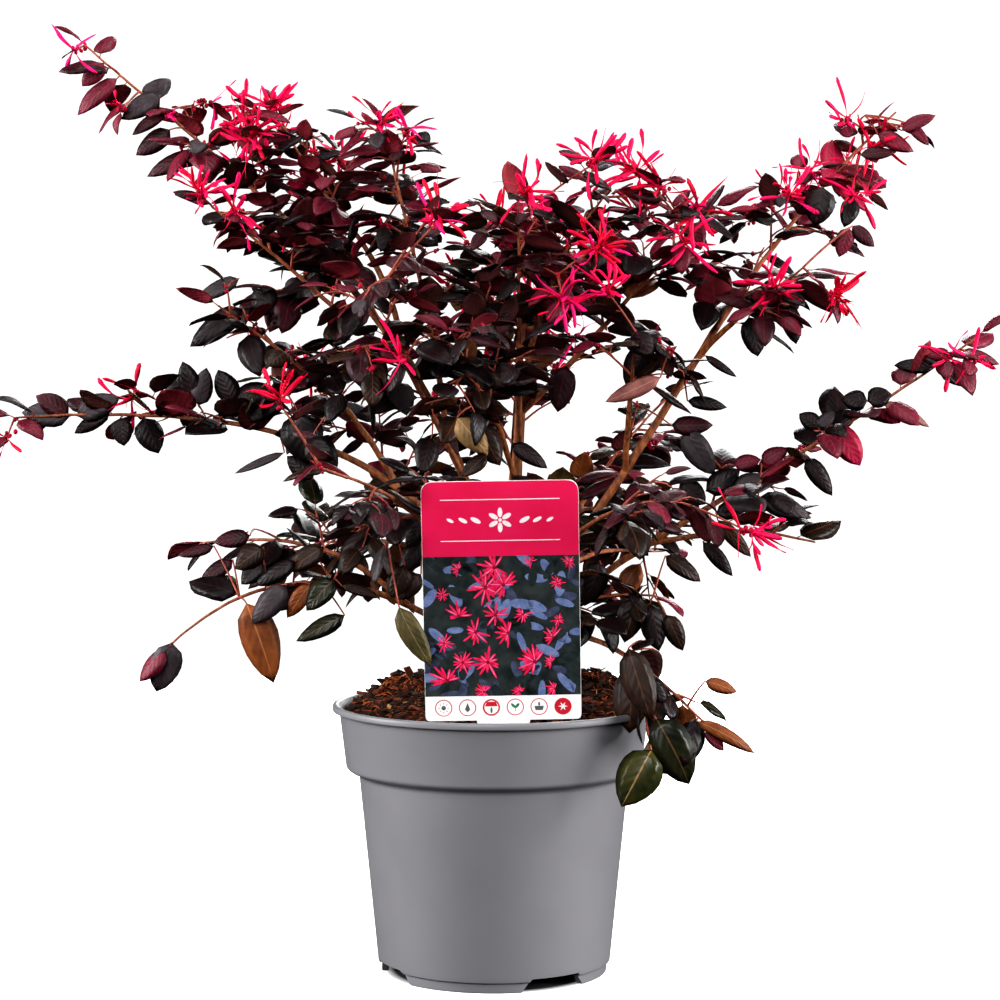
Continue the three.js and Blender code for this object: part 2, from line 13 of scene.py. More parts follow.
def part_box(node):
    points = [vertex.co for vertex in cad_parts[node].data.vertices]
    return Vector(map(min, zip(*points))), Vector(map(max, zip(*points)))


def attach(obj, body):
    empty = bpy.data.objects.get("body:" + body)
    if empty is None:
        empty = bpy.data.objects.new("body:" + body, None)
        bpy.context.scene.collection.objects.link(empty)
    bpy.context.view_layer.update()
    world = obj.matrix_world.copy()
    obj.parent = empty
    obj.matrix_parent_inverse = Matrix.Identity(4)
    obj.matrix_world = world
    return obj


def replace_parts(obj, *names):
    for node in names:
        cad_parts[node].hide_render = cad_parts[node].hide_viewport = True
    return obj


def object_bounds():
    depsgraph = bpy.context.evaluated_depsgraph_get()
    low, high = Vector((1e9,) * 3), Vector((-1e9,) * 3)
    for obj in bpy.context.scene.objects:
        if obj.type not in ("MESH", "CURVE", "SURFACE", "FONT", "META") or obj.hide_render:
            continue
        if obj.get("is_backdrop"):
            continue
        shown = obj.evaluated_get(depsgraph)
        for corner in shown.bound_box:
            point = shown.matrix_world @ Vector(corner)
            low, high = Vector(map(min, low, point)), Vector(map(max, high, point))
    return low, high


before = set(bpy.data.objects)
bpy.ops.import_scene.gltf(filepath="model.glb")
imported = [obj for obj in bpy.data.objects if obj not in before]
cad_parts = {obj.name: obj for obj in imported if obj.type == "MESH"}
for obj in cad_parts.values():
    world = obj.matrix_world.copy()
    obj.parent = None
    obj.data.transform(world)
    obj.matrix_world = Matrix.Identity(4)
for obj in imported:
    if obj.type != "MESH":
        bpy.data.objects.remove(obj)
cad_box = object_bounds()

MM = 0.001  # lengths below are millimetres, and every mesh is made in metres

# Driving dimensions of the pot, the compost and the card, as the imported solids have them
RIM_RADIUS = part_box("pot")[1][0] / MM
POT_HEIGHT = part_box("pot")[1][2] / MM
POT_SIDES = 288
WALL = 2
RIM_HEIGHT = 4
BAND_TOP_RADIUS = 91
BAND_BOTTOM_RADIUS = 87
BAND_BOTTOM = 121
BODY_TOP_RADIUS = 79.5
BODY_BOTTOM_RADIUS = 68.4
FOOT_RADIUS = 66.4
FOOT_HEIGHT = 6
FOOT_WIDTH = 4
FLOOR = 9
NOTCH_WIDTH = 36
NOTCH_HEIGHT = 8
NOTCH_ANGLES = (-58, -155, 122, 25)
NOTCH_SLANT = 5  # degrees round the pot over which a notch's side climbs
CLEARANCE = 0.3
COMPOST_TOP = 162
COMPOST_FLAT_RADIUS = 26
COMPOST_SLOPE_RADII = (50, 74)  # two places on the slope between the flat top and the edge
COMPOST_SLOPE_HEIGHTS = (160, 157)  # and their heights
COMPOST_EDGE = 153
COMPOST_RADIUS = 88.2
COMPOST_RINGS = 44
COMPOST_SIDES = 180
LUMPS = [(13, 1.8, 3), (4.5, 1.1, 9)]  # size, height and level in the noise of each kind
HEAPS = [(-52, 34, 12, 15), (60, 22, 14, 16), (-20, 62, 7, 13)]  # place, height and reach of each
CARD_WIDTH = 87
CARD_HEIGHT = 135
CARD_THICKNESS = 0.9
CARD_CORNER = 7
CARD_FOOT_CORNER = 3
CARD_LEAN = 6  # degrees
CARD_TURN = 1
CARD_FOOT = Vector((5.5, -85, 159))
SPIKE_LENGTH = 34
SPIKE_WIDTH = 30
SPIKE_TIP_WIDTH = 12

# Driving dimensions of the shrub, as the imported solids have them
TRUNK_FOOT = Vector((4, 4, COMPOST_TOP + CLEARANCE))
TRUNK_HEIGHT = 58
TRUNK_LEAN = (6, 2)
TRUNK_HANDLES = (0.4, 0.3)  # how long its curve's handles are, as shares of its height
TRUNK_GIRTH = 8.5
TRUNK_TOP_GIRTH = 6
ROOT_FLARE = 6
ROOT_FLARE_HEIGHT = 7
TRUNK_BARE = 0.92
HANDLE = 0.42  # how long the handles of a limb's curve are, as a share of its span
TIP_GIRTH = 1.4
DIVERGENCE = 137.5
SPACE_POINTS = 16  # steps along a stem and along a limb at which the room round them is measured
LIMB_POINTS = 60
SEED = 11

# Each limb leaves its origin at a share of that one's length, rises at one angle and reaches its tip
# at another. It is bare up to a share of its length. From there on a mass of leaves grows, and spread
# and twigs are the reach and the number of its side twigs in the solids.
LIMB_SIZES = ("origin", "at", "tip", "rise", "reach", "girth", "bare", "spread", "twigs")
LIMBS = {name: dict(zip(LIMB_SIZES, sizes)) for name, *sizes in (
    ("left_tall", "trunk", 0.64, (-242, 30, 545), 79, 40, 3, 0.48, 25, 6),
    ("dome_middle", "trunk", 0.9, (68, 24, 460), 84, 50, 2.7, 0.6, 40, 5),
    ("right_tall", "trunk", 0.7, (237, 22, 505), 49, 43, 2.9, 0.56, 28, 5),
    ("left_arm", "trunk", 0.4, (-276, -25, 326), 76, -4, 2.4, 0.5, 20, 4),
    ("right_arm", "trunk", 0.5, (277, -35, 373), 38, 36, 2.2, 0.42, 19, 4),
    ("left_low", "trunk", 0.2, (-184, -54, 197), 46, -44, 2.1, 0.42, 12, 1),
    ("right_low", "trunk", 0.22, (90, -66, 227), 52, 0, 2.1, 0.44, 27, 3),
    ("back_middle", "trunk", 0.62, (16, 151, 386), 62, 45, 2.4, 0.44, 44, 4),
    ("front_left", "trunk", 0.36, (-92, -146, 302), 56, 12, 2.2, 0.48, 32, 4),
    ("front_right", "trunk", 0.4, (84, -138, 284), 50, 8, 2.2, 0.52, 32, 4),
    ("back_left", "trunk", 0.36, (-112, 132, 340), 52, 30, 2.3, 0.42, 38, 4),
    ("back_right", "trunk", 0.3, (104, 134, 330), 52, 30, 2.3, 0.42, 38, 4),
    ("top_left", "left_tall", 0.4, (-128, 46, 504), 84, 64, 1.9, 0.36, 38, 4),
    ("top_middle", "left_tall", 0.28, (-62, -14, 492), 84, 78, 1.9, 0.36, 34, 5),
    ("left_under", "left_tall", 0.38, (-160, -34, 446), 34, 34, 1.7, 0.36, 26, 3),
    ("left_middle", "left_arm", 0.34, (-156, -50, 390), 60, 34, 1.8, 0.4, 28, 3),
    ("front_crown", "left_tall", 0.16, (-74, -84, 402), 58, 50, 2, 0.42, 40, 4),
    ("centre", "dome_middle", 0.24, (-22, -92, 374), 66, 44, 2, 0.5, 38, 4),
    ("dome_left", "dome_middle", 0.34, (14, -46, 446), 66, 60, 1.9, 0.42, 40, 4),
    ("dome_right", "dome_middle", 0.44, (126, -20, 446), 44, 44, 1.9, 0.4, 36, 4),
    ("right_star", "right_tall", 0.5, (176, -40, 412), 44, 34, 1.8, 0.36, 21, 2),
    ("right_middle", "right_tall", 0.3, (80, -70, 374), 52, 34, 1.9, 0.4, 30, 4),
    ("right_fan", "right_arm", 0.32, (186, -22, 254), 10, -14, 1.7, 0.4, 17, 3),
    ("right_drop", "right_low", 0.26, (122, -72, 153), 8, -36, 1.7, 0.44, 13, 2),
    ("left_upper", "left_low", 0.32, (-174, 36, 250), 40, -6, 1.7, 0.4, 20, 3),
    ("back_top", "back_middle", 0.3, (24, 96, 440), 74, 66, 2, 0.4, 44, 4),
    ("back_low_left", "back_left", 0.26, (-106, 126, 244), 24, -4, 1.8, 0.4, 34, 2),
    ("back_low_right", "back_right", 0.26, (106, 126, 238), 24, -4, 1.8, 0.4, 34, 2),
)}

# The finer growth that the solids leave out
FINER_TWIGS = 2.1  # side twigs here for each one of the solids
FINER_REACH = 8  # they are longer by this much, because their leaves are shorter
FINER_SHARES = (0.3, 0.55, 0.78)  # where a side twig carries finer twigs
FINEST_TWIG = 9
FULLER = 1.4  # and how many times as many on the masses behind, which stand by themselves
SPARSE = {"left_low": 2.2}  # how much further apart the leaves of these masses are
LIFTED = {"left_arm": 0.3, "right_arm": 0.15}  # how far their leaves are turned up
REDDER = {"right_arm": 7, "left_arm": 2, "left_tall": 1.6, "right_tall": 1.6}  # how often they are red
SLENDER = 28  # a mass whose side twigs are shorter than this
SLENDER_FROM = 0.66  # bears none on the last part of its stem
OVERREACH = 8  # how far a twig may grow past the middle between two stems
TWIG_ANGLES = (45, 65)  # between a side twig and its stem, in degrees
FINER_ANGLES = (38, 58)
TWIG_SPREAD = 25  # how far a side twig may be turned round the stem, in degrees
FINER_SPREAD = 40
TWIG_LIFT = 0.2
TWIG_GIRTH = 0.9
TWIG_TIP_GIRTH = 0.45
STEM_TIP_GIRTH = 0.6
LEAF_STEP = 11
LEAF_LENGTH = 41
TIP_LEAF = 0.6  # size of the leaves at the tip of a stem as a share of those at its root
PETIOLE = 3.2
LEAF_ANGLES = (46, 70)  # between a leaf and its twig, in degrees
END_LEAF_ANGLES = (4, 22)
LEAF_SPREAD = 42  # how far a leaf may be turned round its twig, in degrees
LEAF_TILT = 38  # and round its own midrib
LEAF_WIDTHS = (0.5, 0.7)  # as shares of its length
LEAF_ARCHES = (12, 58)  # how far it bends along its length, in degrees
LEAF_DROOP = (-0.3, 0.34)
CROWDING = 7.2  # least distance between the middles of two leaves
LIMB_ROOM = 3.2  # a leaf's middle line stays this far from the middle line of any limb
SPACE_IN_FRONT = 4  # kept free round the card's front
POT_ROOM = (2, 3)  # kept free of leaves beyond the pot's rim and above it
COMPOST_ROOM = (40, 8)  # and beyond the compost's flat top and above it
LEAF_BEYOND = 7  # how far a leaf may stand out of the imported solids' box
CLUSTER_INSIDE = 10  # how far inside it the hearts of the clusters behind stay

# Where the sky shows through the crown from the front: x and z of the middle of each gap, seen on
# the upright plane through the pot's axis, and how far it reaches to each side and up and down
GAPS = [
    (36, 322, 30, 15), (57, 346, 14, 17), (86, 346, 17, 9), (105, 386, 17, 7), (183, 425, 15, 11),
    (94, 236, 12, 8), (176, 239, 28, 17), (159, 318, 20, 8), (-155, 303, 32, 12), (-222, 298, 24, 11),
    (-213, 534, 16, 11), (-103, 514, 8, 10), (222, 306, 12, 14), (-163, 362, 17, 9), (-174, 268, 22, 10),
    (-178, 521, 16, 11), (-170, 392, 14, 5), (-148, 412, 10, 6), (252, 522, 12, 10), (33, 300, 12, 8),
    (234, 467, 12, 12), (158, 476, 14, 9), (-262, 338, 14, 6), (-205, 345, 12, 5), (148, 372, 8, 8),
    (100, 334, 14, 7), (124, 290, 8, 10), (146, 306, 12, 8), (206, 232, 10, 10), (-92, 498, 8, 6),
    (180, 338, 14, 10), (196, 327, 6, 5), (228, 353, 10, 9), (211, 515, 10, 9), (192, 507, 10, 7),
    (186, 290, 11, 8), (110, 190, 9, 13), (81, 238, 7, 10), (-172, 196, 7, 9), (-143, 269, 9, 6),
    (-82, 293, 10, 9), (-92, 308, 8, 6), (-68, 308, 9, 6), (-118, 281, 9, 9), (74, 355, 9, 9),
]

# Leaves that stand out from the rest: colour, root, tip, share of width and arch in degrees
# Their umber leaves are painted shade and their dusk leaves painted sheen, as in the crown
SINGLE_LEAVES = [
    ("bronze", (-140, -60, 222), (-122, -62, 177), 0.46, 14),
    ("dusk", (-117, -66, 233), (-137, -70, 211), 0.5, 24),
    ("dusk", (-183, -54, 199), (-190, -56, 169), 0.58, 26),
    ("bronze", (-104, -60, 233), (-118, -62, 213), 0.42, 30),
    ("green", (-90, -64, 236), (-107, -70, 220), 0.6, 30),
    ("green", (-84, -68, 216), (-112, -72, 202), 0.36, 20),
    ("olive", (88, -84, 142), (71, -88, 110), 0.7, 16),
    ("green", (91, -80, 159), (113, -88, 123), 0.56, 34),
    ("moss", (87, -78, 147), (100, -82, 128), 0.74, 20),
    ("umber", (75, -84, 199), (87, -92, 159), 0.44, 14),
    ("black", (83, -82, 183), (96, -88, 169), 0.7, 30),
    ("bronze", (119, -70, 179), (138, -72, 174), 0.44, 26),
    ("bronze", (114, -76, 157), (150, -82, 143), 0.22, 36),
    ("plum", (119, -74, 152), (130, -78, 141), 0.5, 30),
    ("tan", (-20, -100, 328), (-3, -104, 308), 0.56, 20),
    ("umber", (80, -66, 226), (74, -70, 200), 0.6, 24), ("black", (88, -66, 222), (96, -70, 196), 0.6, 24),
    ("umber", (97, -66, 216), (108, -70, 196), 0.5, 30),
    ("black", (120, -34, 255), (139, -38, 236), 0.34, 30),
    ("umber", (-4, -62, 306), (-18, -66, 294), 0.5, 20),
    ("black", (188, -32, 458), (183, -34, 436), 0.8, 20),
    ("black", (146, -32, 384), (154, -34, 362), 0.66, 20),
    ("black", (169, -32, 391), (172, -34, 368), 0.5, 20),
    ("black", (121, -32, 362), (140, -34, 349), 0.22, 30),
    ("black", (111, -32, 336), (135, -34, 334), 0.35, 30),
    ("dusk", (-146, -30, 406), (-171, -34, 394), 0.36, 24),
    ("black", (-144, -30, 389), (-176, -34, 368), 0.4, 24),
    ("black", (-133, -30, 402), (-130, -34, 385), 0.9, 20),
    ("burgundy", (-162, -24, 252), (-183, -28, 246), 0.34, 24),
    ("burgundy", (-151, -24, 244), (-170, -28, 232), 0.45, 24),
    ("burgundy", (-141, -24, 258), (-162, -28, 254), 0.5, 24),
    ("black", (-216, -20, 326), (-214, -24, 310), 0.8, 20),
    ("black", (-203, -20, 326), (-193, -24, 306), 0.75, 20),
    ("dusk", (-121, -24, 306), (-151, -28, 294), 0.16, 30),
    ("black", (-112, -40, 330), (-106, -44, 300), 0.8, 20),
    ("plum", (203, -32, 435), (198, -34, 418), 0.6, 20),
    ("burgundy", (205, -32, 436), (218, -34, 424), 0.5, 24),
    ("black", (-103, -60, 316), (-90, -66, 296), 0.7, 24),
    ("umber", (-10, -60, 324), (4, -64, 300), 0.6, 24), ("black", (10, -50, 312), (32, -54, 300), 0.4, 30),
    ("umber", (128, -40, 268), (148, -44, 246), 0.3, 34),
    ("black", (88, -34, 368), (76, -36, 344), 0.6, 24),
    ("burgundy", (42, -20, 356), (34, -24, 330), 0.6, 24),
    ("burgundy", (-192, 10, 504), (-214, 6, 494), 0.36, 30),
    ("plum", (236, -10, 492), (254, -14, 503), 0.4, 20),
    ("plum", (240, -10, 496), (252, -14, 484), 0.4, 20),
    ("umber", (97, -60, 249), (118, -64, 235), 0.42, 30),
    ("black", (60, -60, 246), (52, -64, 220), 0.6, 24),
    ("umber", (-50, -70, 244), (-58, -74, 226), 0.7, 24),
    ("black", (-112, -60, 246), (-136, -64, 232), 0.4, 30),
    ("umber", (-96, -60, 254), (-118, -64, 240), 0.5, 30),
    ("black", (-222, -20, 330), (-244, -24, 318), 0.4, 30),
    ("black", (-120, -30, 338), (-142, -34, 326), 0.5, 24),
    ("plum", (268, -34, 365), (291, -36, 357), 0.3, 30),
    ("black", (252, -34, 355), (229, -34, 358), 0.4, 30),
    ("dusk", (255, -34, 352), (278, -34, 344), 0.3, 30),
    ("plum", (262, -34, 362), (247, -38, 364), 0.55, 20),
    ("black", (214, -34, 336), (199, -34, 337), 0.85, 20),
    ("black", (214, -34, 336), (228, -34, 341), 0.85, 20),
    ("salmon", (222, -34, 335), (254, -34, 324), 0.22, 30),
    ("black", (186, -34, 321), (176, -34, 330), 0.8, 20),
    ("dusk", (186, -34, 321), (195, -34, 331), 0.6, 20),
    ("moss", (-52, -104, 224), (-37, -108, 190), 0.36, 22),
    ("salmon", (92, -92, 350), (62, -98, 336), 0.3, 22),
    ("black", (-172, -20, 335), (-190, -24, 341), 0.8, 20),
    ("black", (-172, -20, 335), (-180, -26, 358), 0.55, 16),
    ("dusk", (-171, -20, 333), (-164, -26, 354), 0.55, 16),
    ("black", (-151, -20, 335), (-158, -24, 354), 0.7, 20),
    ("black", (-149, -20, 334), (-129, -24, 346), 0.7, 20),
    ("dusk", (-245, -20, 327), (-273, -24, 331), 0.55, 20),
    ("burgundy", (-246, -20, 328), (-263, -24, 341), 0.6, 20),
    ("dusk", (-241, -20, 327), (-218, -24, 341), 0.6, 20),
    ("plum", (-230, 20, 534), (-242, 16, 520), 0.6, 24),
    ("plum", (-222, 20, 525), (-249, 16, 506), 0.36, 34),
    ("dusk", (-197, 20, 515), (-221, 16, 503), 0.5, 24),
    ("burgundy", (-191, 20, 495), (-211, 16, 479), 0.5, 30),
    ("burgundy", (-173, 20, 481), (-208, 16, 473), 0.33, 34),
    ("crimson", (196, -30, 322), (210, -34, 298), 0.6, 24),
    ("black", (179, -30, 303), (197, -34, 283), 0.42, 24),
    ("dusk", (152, -30, 280), (185, -34, 273), 0.42, 30),
    ("dusk", (109, -30, 319), (127, -34, 293), 0.5, 24),
    ("black", (-39, -66, 258), (-53, -68, 239), 0.6, 24),
    ("umber", (-41, -66, 239), (-55, -68, 225), 0.6, 24),
    ("black", (-39, -66, 270), (-50, -68, 254), 0.6, 24),
    ("black", (122, -30, 284), (142, -34, 296), 0.6, 24),
    ("dusk", (138, -30, 284), (154, -34, 295), 0.6, 24),
    ("black", (107, -30, 289), (122, -34, 277), 0.7, 24),
    ("plum", (154, -30, 300), (168, -34, 310), 0.6, 24),
    ("plum", (138, -30, 299), (153, -34, 303), 0.6, 24),
    ("black", (128, -30, 271), (145, -34, 277), 0.6, 24),
    ("burgundy", (102, -30, 322), (126, -34, 322), 0.5, 24),
    ("umber", (-131, -50, 253), (-148, -54, 242), 0.7, 24),
    ("black", (-131, -50, 244), (-145, -54, 234), 0.7, 24),
    ("black", (-104, -30, 291), (-118, -34, 305), 0.6, 20),
    ("umber", (-86, -60, 232), (-64, -64, 228), 0.3, 20),
    ("plum", (222, -10, 490), (244, -14, 482), 0.45, 24),
    ("burgundy", (212, -10, 478), (233, -14, 480), 0.36, 24),
]

# The clusters of blossoms that face the front: x and z of each, seen on the upright plane through
# the pot's axis, and how many blossoms it has
CLUSTERS = [
    (-240, 542, 1), (-214, 508, 1), (-190, 504, 1), (-139, 490, 6), (-142, 502, 2), (-169, 457, 4),
    (-151, 448, 3), (-66, 496, 3), (-50, 494, 2), (-32, 444, 2), (-37, 447, 2), (18, 457, 4), (57, 476, 4),
    (85, 470, 4), (98, 461, 3), (117, 450, 3), (109, 432, 3), (59, 428, 7), (39, 400, 4), (67, 401, 3),
    (204, 500, 3), (219, 487, 2), (183, 471, 3), (170, 458, 4), (208, 459, 3), (160, 404, 6),
    (195, 401, 6), (-131, 349, 3), (-52, 364, 2), (-207, 345, 2), (-282, 320, 1), (147, 264, 4),
    (262, 364, 2), (276, 364, 1),
]
BACK_CLUSTER_CHANCE = 0.3  # share of the twigs behind that end in a cluster
BACK_CLUSTER_HEIGHT = 350  # and they are above this
BUD_CHANCE = 0.3  # share of the twigs that end in buds
BUD_HEIGHT = 300
SPUR_REACH = 40
SPUR_FORWARD = 14  # a spur's tip lies this much nearer to the front than its root
PETAL_LENGTH = 23
PETAL_WIDTH = 2.6
PETAL_ODDS = (6, 3, 1.4)  # how often a head is pink, crimson or magenta
YOUNG_CHANCE = 0.25  # share of the blossoms that are only just opening
YOUNG_PETALS = ((10, 40), (0.3, 0.5))  # how far they stand out, in degrees, and how long they are
OPEN_PETALS = ((30, 88), (0.62, 1.12))
CALYX = 1.5
HEAD_SIZE = 1.15  # blossoms in a head for each one counted above
HEAD_RISE = 4  # a head's heart lies this much below its middle

# The camera that took the photograph, as fitted to the pot's rim, collar and foot
CAMERA = Vector((3.5, -1600, 362.2))
CAMERA_PITCH = 0.053
CAMERA_LENS = 98.33
CAMERA_SENSOR = 36

# Each light's place in metres, the height that it is aimed at, its size and its power
LIGHTS = {
    "front": ((-0.4, -1.9, 0.9), 0.25, 0.9, 32),
    "left": ((-1.5, -0.2, 0.6), 0.25, 0.9, 38),
    "right": ((1.5, -0.3, 0.5), 0.2, 0.9, 43),
    "top": ((0.1, -0.1, 2.1), 0.35, 1.4, 31),
    "back": ((0.3, 1.8, 0.9), 0.3, 0.9, 28),
}

UP = Vector((0, 0, 1))


def lerp(a, b, share):
    return a + (b - a) * share


def linear(colour, dim=1):
    """A colour as Blender's shaders take it, from the usual numbers up to 255, dimmed by a factor."""
    shares = [value / 255 for value in colour]
    return (*[dim * (s / 12.92 if s <= 0.04045 else ((s + 0.055) / 1.055) ** 2.4) for s in shares], 1)


def scatter(rng, *spreads):
    """A random offset with its own spread along each axis."""
    return Vector([rng.gauss(0, spread) for spread in spreads])


def swung(way, degrees, axis):
    """A direction turned round an axis."""
    return Matrix.Rotation(math.radians(degrees), 3, axis) @ way


# Meshes

class Batch:
    """Many small shapes gathered into one mesh, in millimetres."""

    def __init__(self):
        self.points, self.uvs, self.faces, self.slots = [], [], [], []
        self.count = 0

    def add(self, points, faces, slots=None, uvs=None):
        points = np.asarray(points, float)
        self.points.append(points)
        self.uvs.append(np.zeros((len(points), 2)) if uvs is None else uvs)
        self.faces.extend([tuple(i + self.count for i in face) for face in faces])
        self.slots.extend(slots or [0] * len(faces))
        self.count += len(points)

    def build(self, name, materials, slot, smooth=True):
        """The finished piece, riding on the plant's one body."""
        mesh = bpy.data.meshes.new(name)
        mesh.from_pydata((np.concatenate(self.points) * MM).tolist(), [], self.faces)
        corners = np.empty(len(mesh.loops), int)
        mesh.loops.foreach_get("vertex_index", corners)
        layer = mesh.uv_layers.new(name="UVMap")
        layer.data.foreach_set("uv", np.concatenate(self.uvs)[corners].ravel())
        mesh.polygons.foreach_set("material_index", self.slots)
        mesh.polygons.foreach_set("use_smooth", [smooth] * len(mesh.polygons))
        for material in materials:
            mesh.materials.append(material)
        mesh.update()
        piece = bpy.data.objects.new(name, mesh)
        bpy.context.collection.objects.link(piece)
        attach(piece, "root")
        return piece


def weld(piece):
    """Merges the corners of a mesh that fall together and drops the faces that vanish."""
    edit = bmesh.new()
    edit.from_mesh(piece.data)
    bmesh.ops.remove_doubles(edit, verts=edit.verts, dist=0.01 * MM)
    bmesh.ops.dissolve_degenerate(edit, edges=edit.edges, dist=0.005 * MM)
    bmesh.ops.recalc_face_normals(edit, faces=edit.faces)
    edit.to_mesh(piece.data)
    edit.free()
    return piece


def rounded(corners, steps=4):
    """An outline with its corners rounded: each corner is x, y and the length of its rounding."""
    outline = []
    for i, (x, y, size) in enumerate(corners):
        here = Vector((x, y))
        if not size:
            outline.append((x, y))
            continue
        before = Vector(corners[i - 1][:2])
        after = Vector(corners[(i + 1) % len(corners)][:2])
        start = here + (before - here).normalized() * size
        end = here + (after - here).normalized() * size
        for k in range(steps + 1):
            share = k / steps
            point = start.lerp(here, share).lerp(here.lerp(end, share), share)
            outline.append(tuple(point))
    return outline


def turned(profile, sides, place):
    """Points and faces of a profile turned round the axis: place gives each point's own position."""
    points, faces = [], []
    count = len(profile)
    for i in range(sides):
        angle = 2 * math.pi * i / sides
        points += [place(radius, height, angle) for radius, height in profile]
        ahead = (i + 1) % sides
        for k in range(count - 1):
            faces.append((i * count + k, ahead * count + k, ahead * count + k + 1, i * count + k + 1))
    return points, faces


def tube(batch, points, radii, sides, relief=None):
    """A tapering tube through points, closed by a low cone at each end."""
    tangents = [(b - a).normalized() for a, b in zip(points, points[1:])]
    tangents.append(tangents[-1])
    normal = tangents[0].orthogonal().normalized()
    rings = []
    for i, (point, radius) in enumerate(zip(points, radii)):
        if i:
            normal = tangents[i - 1].rotation_difference(tangents[i]) @ normal
        side = tangents[i].cross(normal)
        for k in range(sides):
            angle = 2 * math.pi * k / sides
            out = normal * math.cos(angle) + side * math.sin(angle)
            rings.append(point + out * radius * (relief(point, out) if relief else 1))
    ends = [points[0] - tangents[0] * radii[0] / 2, points[-1] + tangents[-1] * radii[-1]]
    faces = []
    for i in range(len(points) - 1):
        for k in range(sides):
            ahead = (k + 1) % sides
            faces.append((i * sides + k, i * sides + ahead, (i + 1) * sides + ahead, (i + 1) * sides + k))
    first, last = len(rings), len(rings) + 1
    top = (len(points) - 1) * sides
    for k in range(sides):
        ahead = (k + 1) % sides
        faces += [(first, ahead, k), (last, top + k, top + ahead)]
    batch.add([tuple(p) for p in rings + ends], faces)


# Materials

class Finish:
    """A material made of procedural nodes round one Principled shader."""

    def __init__(self, name, colour, roughness, **sockets):
        self.material = bpy.data.materials.new(name)
        self.material.use_nodes = True
        self.tree = self.material.node_tree
        self.shader = self.tree.nodes["Principled BSDF"]
        self.shader.inputs["Base Color"].default_value = linear(colour)
        self.shader.inputs["Roughness"].default_value = roughness
        for socket, value in sockets.items():
            self.shader.inputs[socket.replace("_", " ")].default_value = value

    def link(self, source, node, socket):
        self.tree.links.new(source, node.inputs[socket])

    def node(self, kind, sources=None, values=None, **settings):
        """A node with settings, values on its sockets and links from sources into its sockets."""
        made = self.tree.nodes.new("ShaderNode" + kind)
        for key, value in settings.items():
            setattr(made, key, value)
        for socket, value in (values or {}).items():
            made.inputs[socket].default_value = value
        for socket, source in (sources or {}).items():
            self.link(source, made, socket)
        return made

    def place(self, stretch=(1, 1, 1)):
        """The place on the object, in metres, drawn out along the axes."""
        coordinates = self.node("TexCoord")
        mapping = self.node("Mapping", {"Vector": coordinates.outputs["Object"]}, {"Scale": stretch})
        return mapping.outputs["Vector"]

    def noise(self, place, size, detail=4, roughness=0.55):
        """Noise with lumps of a size in millimetres."""
        made = self.node("TexNoise", {"Vector": place}, {
            "Scale": 1 / (size * MM), "Detail": detail, "Roughness": roughness})
        return made.outputs["Fac"]

    def ramp(self, source, *stops):
        """Colours dealt out by a number: each stop is a position, a colour and perhaps its dimming."""
        made = self.node("ValToRGB", {"Fac": source})
        elements = made.color_ramp.elements
        while len(elements) < len(stops):
            elements.new(0.5)
        for element, (position, colour, *dim) in zip(elements, stops):
            element.position = position
            element.color = linear(colour, *dim)
        return made.outputs["Color"]

    def mix(self, share, a, b):
        """Colour a to colour b by share, which is a link. Each colour is numbers or a link."""
        made = self.node("Mix", {0: share}, data_type="RGBA")
        for socket, value in ((6, a), (7, b)):
            if isinstance(value, bpy.types.NodeSocket):
                self.link(value, made, socket)
            else:
                made.inputs[socket].default_value = linear(value)
        return made.outputs[2]

    def paint(self, colour):
        self.link(colour, self.shader, "Base Color")

    def roughen(self, source, low, high):
        spread = self.node("MapRange", {"Value": source}, {"To Min": low, "To Max": high})
        self.link(spread.outputs["Result"], self.shader, "Roughness")

    def bump(self, height, depth, strength=1):
        """Relief of a depth in millimetres."""
        made = self.node("Bump", {"Height": height}, {"Distance": depth * MM, "Strength": strength})
        self.link(made.outputs["Normal"], self.shader, "Normal")


def pot_finish():
    """Moulded plastic: satin grey with a faint mottling and fine handling marks."""
    finish = Finish("pot_plastic", (117, 116, 120), 0.42, Specular_IOR_Level=0.45)
    place = finish.place()
    cloud = finish.noise(place, 60, 3)
    finish.paint(finish.ramp(cloud, (0.3, (114, 113, 117)), (0.7, (120, 119, 123))))
    finish.roughen(finish.noise(place, 22, 5), 0.36, 0.5)
    finish.bump(finish.noise(place, 1.1, 3), 0.03, 0.5)
    return finish.material


def earth_finish(name, dark, light, size=4):
    finish = Finish(name, dark, 0.95, Specular_IOR_Level=0.2)
    place = finish.place()
    grain = finish.noise(place, size, 6, 0.65)
    finish.paint(finish.ramp(grain, (0.32, dark), (0.68, light)))
    finish.bump(finish.noise(place, 0.9, 5, 0.7), 0.5, 0.8)
    return finish.material


def bark_finish(name, dark, middle, light):
    """Thin bark: cinnamon with pale flecks and darker streaks drawn out along the stem."""
    finish = Finish(name, middle, 0.62, Specular_IOR_Level=0.35)
    place = finish.place((1, 1, 0.45))
    streaks = finish.noise(place, 3.2, 6, 0.65)
    finish.paint(finish.ramp(streaks, (0.3, dark), (0.5, middle), (0.72, light)))
    finish.roughen(streaks, 0.5, 0.75)
    finish.bump(finish.noise(place, 0.8, 5, 0.7), 0.25, 0.7)
    return finish.material


